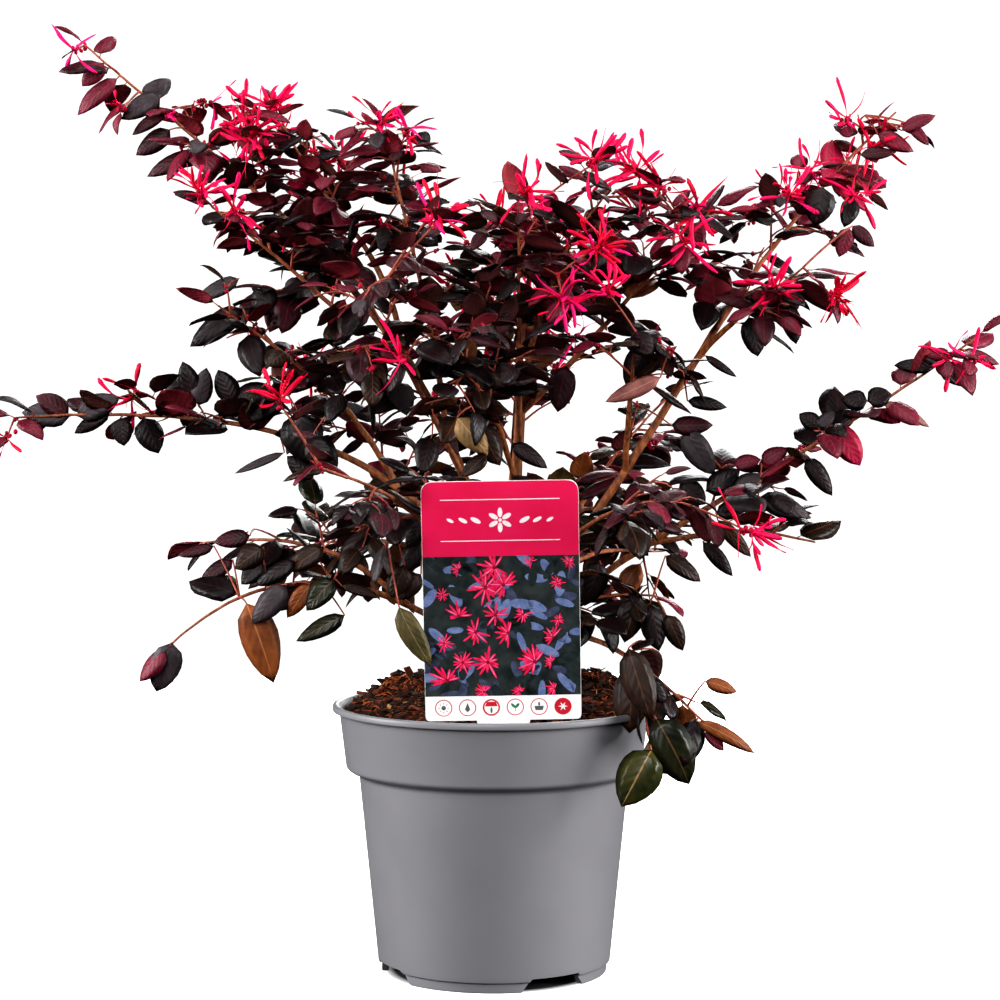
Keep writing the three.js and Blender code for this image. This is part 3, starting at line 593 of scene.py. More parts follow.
def leaf_finish(name, dark, light, rib, roughness=0.4, gloss=0.22):
    """A leaf's surface: mottled, with a midrib in its own colour and faint sunk side veins."""
    finish = Finish(name, dark, roughness, Specular_IOR_Level=gloss)
    place = finish.place()
    mottle = finish.noise(place, 16, 4, 0.6)
    colour = finish.ramp(mottle, (0.38, dark), (0.66, light))
    uv = finish.node("TexCoord").outputs["UV"]
    parts = finish.node("SeparateXYZ", {"Vector": uv})
    across = finish.node("Math", {0: parts.outputs["X"]}, operation="ABSOLUTE").outputs[0]
    midrib = finish.node("MapRange", {"Value": across}, {
        "From Min": 0.015, "From Max": 0.055, "To Min": 1, "To Max": 0})
    finish.paint(finish.mix(midrib.outputs["Result"], colour, rib))
    slant = finish.node("Math", {0: across}, {1: -0.32}, operation="MULTIPLY").outputs[0]
    along = finish.node("Math", {0: parts.outputs["Y"], 1: slant}, operation="ADD").outputs[0]
    turns = finish.node("Math", {0: along}, {1: 40.0}, operation="MULTIPLY").outputs[0]
    veins = finish.node("Math", {0: turns}, operation="SINE").outputs[0]
    lifted = finish.node("Math", {0: veins}, {1: 0.3}, operation="MULTIPLY").outputs[0]
    relief = finish.node("Math", {0: lifted, 1: mottle}, operation="ADD").outputs[0]
    finish.bump(relief, 0.34, 0.6)
    finish.roughen(mottle, roughness - 0.06, roughness + 0.1)
    return finish.material


def petal_finish(name, dark, light):
    finish = Finish(name, light, 0.55, Specular_IOR_Level=0.12)
    tone = finish.noise(finish.place(), 9, 3)
    finish.paint(finish.ramp(tone, (0.35, dark), (0.62, light)))
    return finish.material


def print_finish(name, colour, other=None, size=5):
    """Print under a clear film: a colour, clouded with another one or with a darker shade of it."""
    finish = Finish(name, colour, 0.3, Specular_IOR_Level=0.4)
    place = finish.place()
    cloud = finish.noise(place, size, 4)
    finish.paint(finish.ramp(cloud, (0.35, colour), (0.65, other or colour, 1 if other else 0.9)))
    finish.roughen(finish.noise(place, 14, 3), 0.26, 0.36)
    return finish.material


# Looks of each kind of leaf: dark, light and midrib of its upper side and its roughness, then the
# underside's dark and light where these differ
LEAF_LOOKS = {
    "black": ((12, 6, 8), (28, 12, 15), (50, 20, 22), 0.46, (44, 18, 17), (66, 30, 27)),
    # umber is painted shade: a dark brown for leaves low in the crown, with the brown of leaves lit from
    # behind
    "umber": ((22, 11, 6), (48, 26, 14), (86, 52, 30), 0.46, (66, 36, 18), (96, 56, 30)),
    "burgundy": ((36, 7, 14), (62, 15, 25), (88, 27, 33), 0.5, (60, 17, 21), (86, 28, 31)),
    "plum": ((80, 12, 30), (110, 26, 46), (130, 42, 58), 0.5, (120, 32, 46), (146, 52, 60)),
    "crimson": ((126, 6, 40), (154, 18, 56), (168, 36, 68), 0.52, (144, 22, 54), (166, 42, 68)),
    # dusk is painted sheen: the grey that black leaves show when turned to the light
    "dusk": ((40, 34, 37), (68, 58, 62), (46, 30, 32), 0.5, (88, 48, 44), (114, 68, 60)),
    "green": ((14, 18, 8), (34, 34, 17), (90, 66, 36), 0.34, (72, 54, 22), (104, 78, 36)),
    "olive": ((26, 32, 16), (64, 62, 24), (150, 116, 70), 0.3, (84, 62, 26), (118, 88, 42)),
    "moss": ((62, 56, 30), (92, 80, 48), (130, 116, 84), 0.5),
    "bronze": ((96, 48, 20), (138, 76, 34), (164, 104, 58), 0.5),
    "salmon": ((96, 50, 46), (142, 90, 82), (160, 108, 98), 0.5),
    "tan": ((104, 80, 48), (152, 120, 80), (170, 140, 100), 0.5),
}
PETAL_LOOKS = {
    "pink": ((212, 4, 62), (240, 12, 90)),
    "crimson": ((190, 2, 42), (222, 6, 62)),
    "magenta": ((216, 6, 84), (242, 24, 124)),
}


# The pot

def notch_lift(angle):
    """How high the foot ring is cut away at an angle round the pot."""
    half = math.degrees(math.asin(NOTCH_WIDTH / 2 / FOOT_RADIUS))
    off = min(abs((math.degrees(angle) - middle + 180) % 360 - 180) for middle in NOTCH_ANGLES)
    return NOTCH_HEIGHT * min(1, max(0, (half - off) / NOTCH_SLANT + 0.5))


def make_pot():
    """Body, rounded shoulder, upright collar and turned-out lip, over the notched foot ring."""
    corners = [
        (0, FLOOR, 0),
        (FOOT_RADIUS - FOOT_WIDTH, FLOOR, 0.6),
        (FOOT_RADIUS - FOOT_WIDTH, 0, 0.7),
        (FOOT_RADIUS, 0, 0.9),
        (FOOT_RADIUS, FOOT_HEIGHT, 0.3),
        (BODY_BOTTOM_RADIUS, FOOT_HEIGHT, 0.9),
        (BODY_BOTTOM_RADIUS + 0.35, NOTCH_HEIGHT + 1.5, 0),
        (BODY_BOTTOM_RADIUS + 0.65, NOTCH_HEIGHT + 4.5, 0),
        (BODY_TOP_RADIUS, BAND_BOTTOM - 4, 2.2),
        (BAND_BOTTOM_RADIUS - 1.5, BAND_BOTTOM - 1.5, 1.2),
        (BAND_BOTTOM_RADIUS, BAND_BOTTOM, 1.2),
        (BAND_TOP_RADIUS, POT_HEIGHT - RIM_HEIGHT, 0.8),
        (RIM_RADIUS, POT_HEIGHT - RIM_HEIGHT, 1.1),
        (RIM_RADIUS, POT_HEIGHT, 1.6),
        (RIM_RADIUS - 3, POT_HEIGHT, 1),
        (BAND_TOP_RADIUS - WALL, POT_HEIGHT - RIM_HEIGHT, 1.5),
        (BAND_BOTTOM_RADIUS - WALL, BAND_BOTTOM, 1),
        (BODY_TOP_RADIUS - WALL, BAND_BOTTOM - WALL, 1),
        (BODY_BOTTOM_RADIUS - WALL, FLOOR + WALL, 1.5),
        (0, FLOOR + WALL, 0),
    ]

    def place(radius, height, angle):
        lifted = max(height, notch_lift(angle)) if height < NOTCH_HEIGHT else height
        return (radius * math.cos(angle), radius * math.sin(angle), lifted)

    pot = Batch()
    pot.add(*turned(rounded(corners), POT_SIDES, place))
    piece = weld(pot.build("pot_shell", [pot_finish()], "pot"))
    piece.data.set_sharp_from_angle(angle=math.radians(35))
    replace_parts(piece, "pot")


# The compost

def mound(radius):
    """Height of the compost's even slope at a radius."""
    radii = [COMPOST_FLAT_RADIUS, *COMPOST_SLOPE_RADII, COMPOST_RADIUS]
    heights = [COMPOST_TOP, *COMPOST_SLOPE_HEIGHTS, COMPOST_EDGE]
    return float(np.interp(radius, radii, heights))


def surface(x, y):
    """Height of the compost at a place, with its lumps and its heaps."""
    radius = math.hypot(x, y)
    height = mound(radius)
    rough = min(1, max(0, (radius - 16) / 12)) * min(1, max(0, COMPOST_RADIUS - radius) / 3 + 0.2)
    for size, lift, level in LUMPS:
        height += rough * lift * noise.noise(Vector((x / size, y / size, level)))
    for heap_x, heap_y, lift, reach in HEAPS:
        height += lift * math.exp(-((x - heap_x) ** 2 + (y - heap_y) ** 2) / (2 * reach * reach))
    return height


def make_compost():
    """A lumpy mound that fills the pot."""
    inset = WALL + CLEARANCE
    profile = [(COMPOST_RADIUS * i / COMPOST_RINGS, None) for i in range(COMPOST_RINGS + 1)]
    profile += [
        (BAND_BOTTOM_RADIUS - inset, BAND_BOTTOM + CLEARANCE),
        (BODY_TOP_RADIUS - inset, BAND_BOTTOM - WALL + CLEARANCE),
        (BODY_BOTTOM_RADIUS - inset, FLOOR + WALL + CLEARANCE),
        (0, FLOOR + WALL + CLEARANCE),
    ]

    def place(radius, height, angle):
        x, y = radius * math.cos(angle), radius * math.sin(angle)
        return (x, y, surface(x, y) if height is None else height)

    ground = Batch()
    ground.add(*turned(profile, COMPOST_SIDES, place))
    soil = earth_finish("compost_fines", (18, 10, 7), (50, 27, 17))
    piece = weld(ground.build("compost_mound", [soil], "compost"))
    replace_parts(piece, "compost")


BOX_CORNERS = np.array([[x, y, z] for x in (-1, 1) for y in (-1, 1) for z in (-1, 1)], float)
BOX_FACES = [(0, 1, 3, 2), (4, 6, 7, 5), (0, 4, 5, 1), (2, 3, 7, 6), (0, 2, 6, 4), (1, 5, 7, 3)]


def clear_of_card(x, y, room):
    """True where a bit on the compost doesn't touch the card's spike or the trunk's foot."""
    beside = abs(x - CARD_FOOT.x) > SPIKE_WIDTH / 2 + room
    away = y > CARD_FOOT.y + room + 1
    off_trunk = math.hypot(x - TRUNK_FOOT.x, y - TRUNK_FOOT.y) > TRUNK_GIRTH + ROOT_FLARE + room / 2
    return (beside or away) and off_trunk


def strewn(reach, rng):
    """A place on the compost at random, no further out than reach."""
    radius, angle = reach * math.sqrt(rng.random()), rng.uniform(0, 2 * math.pi)
    return radius * math.cos(angle), radius * math.sin(angle)


def make_chips(name, count, seed, sizes, heap, material):
    """Chips of bark scattered over the compost and half sunk in it. Heap lifts some of them."""
    rng = random.Random(seed)
    chips = Batch()
    placed = 0
    while placed < count:
        longest = rng.uniform(*sizes)
        half = np.array([longest, longest * rng.uniform(0.3, 0.7), longest * rng.uniform(0.12, 0.3)]) / 2
        x, y = strewn(COMPOST_RADIUS - longest / 2, rng)
        if not clear_of_card(x, y, longest / 2):
            continue
        jitter = np.array([rng.uniform(0.7, 1.15) for _ in range(24)]).reshape(8, 3)
        turn = Matrix.Rotation(rng.uniform(0, 2 * math.pi), 3, "Z")
        tilt = Matrix.Rotation(math.radians(rng.gauss(0, 20)), 3, "X")
        pitch = Matrix.Rotation(math.radians(rng.gauss(0, 16)), 3, "Y")
        corners = (BOX_CORNERS * half * jitter) @ np.array(turn @ tilt @ pitch).T
        lift = rng.uniform(-0.1, 0.5) * half[2] + heap * rng.random() ** 2
        chips.add(corners + (x, y, surface(x, y) + lift), BOX_FACES)
        placed += 1
    chips.build(name, [material], "compost", smooth=False)


def make_fibres(name, count, seed, length, material):
    """Curved fibres and slivers that lie on the compost."""
    rng = random.Random(seed)
    fibres = Batch()
    placed = 0
    steps = 5
    while placed < count:
        size = length * rng.uniform(0.5, 1.3)
        x, y = strewn(BAND_TOP_RADIUS - WALL - 2 - size / 2, rng)
        if not clear_of_card(x, y, size / 2):
            continue
        heading, bend = rng.uniform(0, 2 * math.pi), rng.uniform(-1, 1)
        line = []
        for i in range(steps + 1):
            share = i / steps - 0.5
            across = bend * size * (share * share - 0.25)
            px = x + size * share * math.cos(heading) - across * math.sin(heading)
            py = y + size * share * math.sin(heading) + across * math.cos(heading)
            rise = 1.3 + 2.2 * noise.noise(Vector((px / 6, py / 6, 30)))
            line.append(Vector((px, py, surface(px, py) + rise)))
        girth = rng.uniform(0.2, 0.45)
        tube(fibres, line, [girth * (1 - 0.6 * abs(2 * i / steps - 1)) for i in range(steps + 1)], 4)
        placed += 1
    fibres.build(name, [material], "compost")


# The card

CARD_FRAME = (
    Matrix.Translation(CARD_FOOT)
    @ Matrix.Rotation(math.pi / 2 + math.radians(CARD_LEAN), 4, "X")
    @ Matrix.Rotation(math.radians(CARD_TURN), 4, "Z"))
CARD_FRONT = CARD_THICKNESS / 2
BAND_INSET = 0.25  # unprinted edge
PRINT_SIDE = CARD_WIDTH / 2 - BAND_INSET
PRINT_TOP = CARD_HEIGHT - BAND_INSET
HEADER_FOOT = 93  # heights above the card's lower edge
PICTURE_FOOT = 14
PICTURE = (-PRINT_SIDE, PICTURE_FOOT, PRINT_SIDE, HEADER_FOOT)  # left, bottom, right and top
LAYER = 0.05  # each layer of print lies this much over the last
SIGN_SPACING = 13.3
SIGN_LEVEL = 7.4
SIGN_RADIUS = 4.8
SPRIG_LEVEL = lerp(HEADER_FOOT, CARD_HEIGHT, 0.48)


def plate(batch, outline, low, high):
    """A flat plate on the card's own plane, between two distances in front of its middle."""
    count = len(outline)
    points = [CARD_FRAME @ Vector((x, y, z)) for z in (low, high) for x, y in outline]
    faces = [tuple(reversed(range(count))), tuple(range(count, 2 * count))]
    for i in range(count):
        ahead = (i + 1) % count
        faces.append((i, ahead, count + ahead, count + i))
    batch.add([tuple(p) for p in points], faces)


def clipped(outline, box):
    """A convex outline cut off at the sides of a box: left, bottom, right and top."""
    for axis, limit, sign in ((0, box[0], 1), (1, box[1], 1), (0, box[2], -1), (1, box[3], -1)):
        kept = []
        for a, b in zip(outline, outline[1:] + outline[:1]):
            inside_a = sign * (a[axis] - limit) >= 0
            inside_b = sign * (b[axis] - limit) >= 0
            if inside_a:
                kept.append(a)
            if inside_a != inside_b:
                share = (limit - a[axis]) / (b[axis] - a[axis])
                kept.append((lerp(a[0], b[0], share), lerp(a[1], b[1], share)))
        outline = kept
        if not outline:
            break
    return outline


def almond(centre, angle, length, width, points=12):
    """The outline of a leaf or petal that is pointed or round, from its middle."""
    outline = []
    for i in range(points):
        turn = 2 * math.pi * i / points
        along, across = length / 2 * math.cos(turn), width / 2 * math.sin(turn)
        outline.append((
            centre[0] + along * math.cos(angle) - across * math.sin(angle),
            centre[1] + along * math.sin(angle) + across * math.cos(angle)))
    return outline


def printed(name, finish, layer, outlines):
    """A piece of print on a layer of the card. Outlines that are clipped away are left out."""
    batch = Batch()
    for outline in outlines:
        if len(outline) > 2:
            plate(batch, outline, CARD_FRONT + (layer - 1) * LAYER, CARD_FRONT + layer * LAYER)
    batch.build(name, [finish], "card", smooth=False)


def make_board():
    """The card's own sheet of plastic, which narrows to a spike."""
    half, spike, tip = CARD_WIDTH / 2, SPIKE_WIDTH / 2, SPIKE_TIP_WIDTH / 2
    corners = [
        (-half, 0, CARD_FOOT_CORNER), (-spike, 0, 0), (-tip, -SPIKE_LENGTH, 1), (tip, -SPIKE_LENGTH, 1),
        (spike, 0, 0), (half, 0, CARD_FOOT_CORNER), (half, CARD_HEIGHT, CARD_CORNER),
        (-half, CARD_HEIGHT, CARD_CORNER)]
    board = Batch()
    plate(board, rounded(corners, 6), -CARD_FRONT, CARD_FRONT)
    plastic = Finish("card_plastic", (236, 234, 232), 0.35)
    plastic.roughen(plastic.noise(plastic.place(), 20, 3), 0.3, 0.42)
    piece = board.build("card_board", [plastic.material], "card", smooth=False)
    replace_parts(piece, "card")


def make_fields():
    """The header and the picture's ground."""
    left, foot, right, head = PICTURE
    header = [
        (left, head, 0), (right, head, 0), (right, PRINT_TOP, CARD_CORNER), (left, PRINT_TOP, CARD_CORNER)]
    cerise = print_finish("print_header", (216, 18, 76), (224, 26, 86), 30)
    printed("card_header", cerise, 1, [rounded(header, 6)])
    ground = [(left, foot), (right, foot), (right, head), (left, head)]
    printed("card_picture", print_finish("print_shade", (22, 28, 30), (52, 58, 58), 9), 1, [ground])


def make_picture():
    """A print of ribbon blossoms over leaves."""
    left, foot, right, head = PICTURE
    rng = random.Random(SEED)
    for layer, (name, low, high, size) in enumerate((
            ("print_leaves_dusk", (48, 54, 74), (72, 80, 104), 11),
            ("print_leaves_slate", (84, 100, 142), (116, 130, 168), 12),
            ("print_leaves_shade", (26, 34, 36), (44, 52, 52), 14)), 2):
        outlines = []
        for _ in range(34):
            centre = (rng.uniform(left, right), rng.uniform(foot, head))
            length = size * rng.uniform(0.7, 1.25)
            turn, width = rng.uniform(0, math.pi), length * rng.uniform(0.3, 0.5)
            outlines.append(clipped(almond(centre, turn, length, width), PICTURE))
        printed(name, print_finish(name, low, high, 4), layer, outlines)

    petals, pale, hearts = [], [], []
    for row in range(6):
        for column in range(4):
            x = lerp(left, right, (column + 0.5 + 0.4 * (row % 2) + rng.uniform(-0.32, 0.32)) / 4.4)
            y = lerp(foot, head, (row + 0.5 + rng.uniform(-0.35, 0.35)) / 6)
            size = rng.choice((4, 5, 6, 7.5, 9))
            count = rng.choice((9, 11, 13, 15))
            start, fan = rng.random(), rng.choice((0.6, 0.8, 1, 1))
            for k in range(count):
                turn = 2 * math.pi * fan * (k + 4 * start + rng.uniform(-0.3, 0.3)) / count
                length = size * rng.uniform(0.55, 1.15)
                for share, slim, found in ((1, 0.17, petals), (0.8, 0.07, pale)):
                    reach = length * (share / 2 + 0.1)
                    middle = (x + reach * math.cos(turn), y + reach * math.sin(turn))
                    if found is petals or k % 3 == 0:
                        found.append(clipped(almond(middle, turn, length * share, size * slim, 8), PICTURE))
            hearts.append(clipped(almond((x, y), 0, size * 0.24, size * 0.24), PICTURE))
    printed("print_petals_deep", print_finish("print_deep", (214, 18, 66), (240, 50, 104), 3), 5, petals)
    printed("print_petals_pale", print_finish("print_pale", (240, 92, 150), (246, 132, 180), 3), 6, pale)
    printed("print_hearts", print_finish("print_heart", (150, 12, 46)), 7, hearts)


def make_signs():
    """A white band with six plain care signs, each in a ring, and a flower on the header."""
    white = print_finish("print_white", (246, 244, 242), (240, 238, 238))
    band = [
        (-PRINT_SIDE, BAND_INSET, CARD_FOOT_CORNER), (PRINT_SIDE, BAND_INSET, CARD_FOOT_CORNER),
        (PRINT_SIDE, PICTURE_FOOT, 0), (-PRINT_SIDE, PICTURE_FOOT, 0)]
    printed("card_band", white, 1, [rounded(band)])
    rings, glyphs, sprouts, header = Batch(), Batch(), Batch(), Batch()

    def shape(batch, x, y, *corners, lift=0.0):
        outline = [(x + dx, y + dy) for dx, dy in corners]
        plate(batch, outline, CARD_FRONT + LAYER + lift, CARD_FRONT + 2 * LAYER + lift)

    def blade(batch, x, y, turn, length, width, points=12, lift=0.0):
        shape(batch, x, y, *almond((0, 0), turn, length, width, points), lift=lift)

    def circle(x, y, inner, steps=36):
        for i in range(steps):
            start, end = 2 * math.pi * i / steps, 2 * math.pi * (i + 1) / steps
            rim = ((inner, start), (SIGN_RADIUS, start), (SIGN_RADIUS, end), (inner, end))
            shape(rings, x, y, *[(reach * math.cos(turn), reach * math.sin(turn)) for reach, turn in rim])

    upright = math.pi / 2
    y = SIGN_LEVEL
    places = [(i - 2.5) * SIGN_SPACING for i in range(6)]
    sun, drop, shade, seedling, tub, star = places
    for x in places:
        circle(x, y, SIGN_RADIUS - (0.9 if x in (shade, star) else 0.5))
    blade(glyphs, sun, y, 0, 2.6, 2.6)
    for k in range(8):
        turn = math.pi * k / 4
        blade(glyphs, sun + 2.5 * math.cos(turn), y + 2.5 * math.sin(turn), turn, 1.3, 0.35, 6)
    shape(glyphs, drop, y, (-1.5, -1), (0, -2.6), (1.5, -1), (0, 2.7))
    shape(rings, shade, y, (-3.6, 0.6), (3.6, 0.6), (2.4, 3.2), (-2.4, 3.2))
    blade(sprouts, shade, y - 1.6, upright, 3.6, 1.2)
    blade(sprouts, seedling - 1.1, y + 0.8, 2.3, 3.4, 1.5)
    blade(sprouts, seedling + 1.1, y + 0.8, 0.85, 3.4, 1.5)
    blade(sprouts, seedling, y - 1.2, upright, 3, 0.4, 6)
    shape(glyphs, tub, y, (-2, -2), (2, -2), (2.6, 0.4), (-2.6, 0.4))
    blade(sprouts, tub, y + 1.6, upright, 2.4, 1.1)
    blade(rings, star, y, 0, 2 * SIGN_RADIUS, 2 * SIGN_RADIUS, 24, -LAYER / 2)
    for k in range(3):
        blade(header, star, y, math.pi * k / 3, 5.4, 0.9, 6, 0.01 * k)

    for k in range(6):
        turn = math.pi * (k / 3 + 0.5)
        blade(header, 4.2 * math.cos(turn), SPRIG_LEVEL + 4.2 * math.sin(turn), turn, 5.6, 2.7)
    blade(header, 0, SPRIG_LEVEL, 0, 2, 2)
    for way in (-1, 1):
        for k in range(3):
            blade(header, way * (13.5 + 7 * k), SPRIG_LEVEL, way * math.radians(28), 6.4 - k, 2.6 - 0.4 * k)
        shape(header, 0, SPRIG_LEVEL + way * 11.5, (-33, -0.25), (33, -0.25), (33, 0.25), (-33, 0.25))
    for batch, name, ink, colour in (
            (rings, "sign_rings", "print_red", (196, 34, 52)),
            (glyphs, "sign_glyphs", "print_grey", (96, 90, 92)),
            (sprouts, "sign_sprouts", "print_green", (52, 116, 88)),
            (header, "header_sprig", "print_ink", (250, 238, 242))):
        batch.build(name, [print_finish(ink, colour)], "card", smooth=False)


# Curves that are measured along their length

class Course:
    """A Bezier curve whose places are shares of its length."""

    def __init__(self, *handles, samples=200):
        self.handles = handles
        self.samples = samples
        lengths, last = [0], handles[0]
        for i in range(1, samples + 1):
            point = self.at(i / samples)
            lengths.append(lengths[-1] + (point - last).length)
            last = point
        self.lengths = lengths
        self.length = lengths[-1]

    def at(self, t):
        points = list(self.handles)
        while len(points) > 1:
            points = [a.lerp(b, t) for a, b in zip(points, points[1:])]
        return points[0]

    def share(self, share):
        """The curve's own number at a share of its length."""
        steps = np.arange(self.samples + 1) / self.samples
        return float(np.interp(share * self.length, self.lengths, steps))

    def point(self, share):
        return self.at(self.share(share))

    def tangent(self, share):
        t = self.share(share)
        near, far = max(0, t - 0.001), min(1, t + 0.001)
        return (self.at(far) - self.at(near)).normalized()


class Stretch:
    """Part of a course, by shares of its length."""

    def __init__(self, whole, start, end):
        self.whole, self.start, self.end = whole, start, end
        self.length = whole.length * (end - start)

    def point(self, share):
        return self.whole.point(lerp(self.start, self.end, share))

    def tangent(self, share):
        return self.whole.tangent(lerp(self.start, self.end, share))


class Limb:
    """A limb's course, its radius at a share of it, and how far it is bare."""

    def __init__(self, course, radius_at, bare):
        self.course, self.radius_at, self.bare = course, radius_at, bare


def trunk_limb():
    top = TRUNK_FOOT + Vector((*TRUNK_LEAN, TRUNK_HEIGHT))
    lower = TRUNK_FOOT + UP * TRUNK_HEIGHT * TRUNK_HANDLES[0]
    upper = top - UP * TRUNK_HEIGHT * TRUNK_HANDLES[1]

    def radius_at(share):
        flare = ROOT_FLARE * math.exp(-share * TRUNK_HEIGHT / ROOT_FLARE_HEIGHT)
        return lerp(TRUNK_GIRTH, TRUNK_TOP_GIRTH, share) + flare

    return Limb(Course(TRUNK_FOOT, lower, upper, top), radius_at, TRUNK_BARE)


def limb_from(parent, sizes):
    """A limb from its root inside its parent to its leafy tip."""
    root = parent.course.point(sizes["at"])
    end = Vector(sizes["tip"])
    across = end - root
    across.z = 0
    across.normalize()
    handle = HANDLE * (end - root).length

    def heading(degrees):
        return across * math.cos(math.radians(degrees)) + UP * math.sin(math.radians(degrees))

    first = root + heading(sizes["rise"]) * handle
    last = end - heading(sizes["reach"]) * handle
    girth = sizes["girth"]
    return Limb(Course(root, first, last, end), lambda share: lerp(girth, TIP_GIRTH, share), sizes["bare"])


limbs = {"trunk": trunk_limb()}
for limb_name, limb_sizes in LIMBS.items():
    limbs[limb_name] = limb_from(limbs[limb_sizes["origin"]], limb_sizes)


# Wood

def bark_relief(depth):
    """Ridges that run along the wood: how far out a place on it is."""
    def relief(point, out):
        ridge = noise.noise(point / 9 + out * 1.6)
        fleck = noise.noise(point / 2.6 + out * 2)
        return 1 + depth * (ridge + 0.5 * fleck)
    return relief


def wood_line(course, step, sway=0.0):
    """Points along a course, each a little off it, and their shares of its length."""
    count = max(2, round(course.length / step))
    shares = [i / count for i in range(count + 1)]
    points = []
    for share in shares:
        point = course.point(share)
        points.append(point + noise.noise_vector(point / 14) * sway)
    return points, shares


def add_bark(batch, limb, step, sway, sides, depth):
    """The bare part of a limb, with a ring of points at every step and ridges of a depth."""
    points, shares = wood_line(Stretch(limb.course, 0, limb.bare), step, sway)
    radii = [limb.radius_at(share * limb.bare) for share in shares]
    tube(batch, points, radii, sides, bark_relief(depth))


def make_bark():
    """The trunk and the bare boughs, with the bark's relief."""
    cinnamon = bark_finish("bark_cinnamon", (70, 34, 16), (130, 72, 36), (178, 112, 64))
    wood = Batch()
    add_bark(wood, limbs["trunk"], 1.6, 0, 40, 0.14)
    piece = wood.build("trunk_bark", [cinnamon], "bark")
    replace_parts(piece, "trunk")

    wood = Batch()
    for name in LIMBS:
        add_bark(wood, limbs[name], 2.5, 0.5, 14, 0.1)
    piece = wood.build("bough_bark", [cinnamon], "bark")
    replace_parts(piece, *["bough_" + name for name in LIMBS])


# Space for the leaves

def seen_at(place):
    """Where the camera sees a place on the upright plane through the pot's axis."""
    share = -CAMERA.y / (place.y - CAMERA.y)
    return CAMERA + (place - CAMERA) * share


def tree_of(points):
    tree = KDTree(len(points))
    for i, point in enumerate(points):
        tree.insert(point, i)
    tree.balance()
    return tree


stem_owners, stem_places = [], []
for limb_name in LIMBS:
    leafy = Stretch(limbs[limb_name].course, limbs[limb_name].bare, 1)
    for k in range(SPACE_POINTS + 1):
        stem_places.append(leafy.point(k / SPACE_POINTS))
        stem_owners.append(limb_name)
stem_tree = tree_of(stem_places)
limb_tree = tree_of([
    limb.course.point(k / LIMB_POINTS) for limb in limbs.values() for k in range(LIMB_POINTS + 1)])


def in_own_space(mass, place):
    """True if a place is nearer to the mass's own stem than to any other, give or take a little."""
    _, index, nearest = stem_tree.find(place)
    if stem_owners[index] == mass:
        return True
    own = min((p - place).length for p, owner in zip(stem_places, stem_owners) if owner == mass)
    return own < nearest + OVERREACH


def within_reach(place, beyond):
    """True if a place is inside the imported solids' box, or outside it by no more than beyond."""
    return all(
        low / MM - beyond < value < high / MM + beyond
        for low, value, high in zip(cad_box[0], place, cad_box[1]))


def in_the_open(place):
    """True if a place is clear of the pot, the compost and the card, also of the card's front."""
    if not within_reach(place, LEAF_BEYOND):
        return False
    radius = math.hypot(place.x, place.y)
    if radius < RIM_RADIUS + POT_ROOM[0] and place.z < POT_HEIGHT + POT_ROOM[1]:
        return False
    if radius < COMPOST_FLAT_RADIUS + COMPOST_ROOM[0] and place.z < COMPOST_TOP + COMPOST_ROOM[1]:
        return False
    plane = CARD_FRAME.inverted() @ place
    beside = abs(plane.x) > CARD_WIDTH / 2 + SPACE_IN_FRONT
    above = plane.y > CARD_HEIGHT + SPACE_IN_FRONT or plane.y < -SPACE_IN_FRONT
    return beside or above or plane.z < -SPACE_IN_FRONT


def in_a_gap(place):
    """True if a place hides a piece of the sky that shows through the crown from the front."""
    seen = seen_at(place)
    return any(
        math.hypot((seen.x - x) / reach, (seen.z - z) / height) < 1 for x, z, reach, height in GAPS)


def branching(tangent, angle, turn):
    """The direction at an angle to a stem, turned round it, both in degrees."""
    side = tangent.cross(UP).normalized()
    return swung(swung(tangent, angle, side), turn, tangent).normalized()


# Leaves

LEAF_ROWS = 6
LEAF_COLUMNS = 5


def leaf_pattern():
    """Places across and along a leaf, its upper or lower side, and the faces between them."""
    places = [(0, 0, 0), (0, 1, 0)]
    upper, lower = [], []
    for row in range(1, LEAF_ROWS + 1):
        along = row / (LEAF_ROWS + 1)
        line = []
        for column in range(LEAF_COLUMNS):
            line.append(len(places))
            places.append((2 * column / (LEAF_COLUMNS - 1) - 1, along, 1))
        upper.append(line)
        under = [line[0]]
        for column in range(1, LEAF_COLUMNS - 1):
            under.append(len(places))
            places.append((2 * column / (LEAF_COLUMNS - 1) - 1, along, -1))
        lower.append(under + [line[-1]])
    faces, slots = [], []
    for lines, slot in ((upper, 0), (lower, 1)):
        found = []
        for k in range(LEAF_COLUMNS - 1):
            found.append((0, lines[0][k + 1], lines[0][k]))
            found.append((1, lines[-1][k], lines[-1][k + 1]))
            for a, b in zip(lines, lines[1:]):
                found.append((a[k], a[k + 1], b[k + 1]))
                found.append((a[k], b[k + 1], b[k]))
        faces += found if slot == 0 else [tuple(reversed(face)) for face in found]
        slots += [slot] * len(found)
    return np.array(places, float), faces, slots


PLACES, LEAF_FACES, LEAF_SLOTS = leaf_pattern()
ACROSS, ALONG, SIDE = PLACES.T
OUTLINE_PEAK = 0.4015
OUTLINE = ALONG ** 0.55 * (1 - ALONG) ** 0.8 / OUTLINE_PEAK  # widest where it is 1


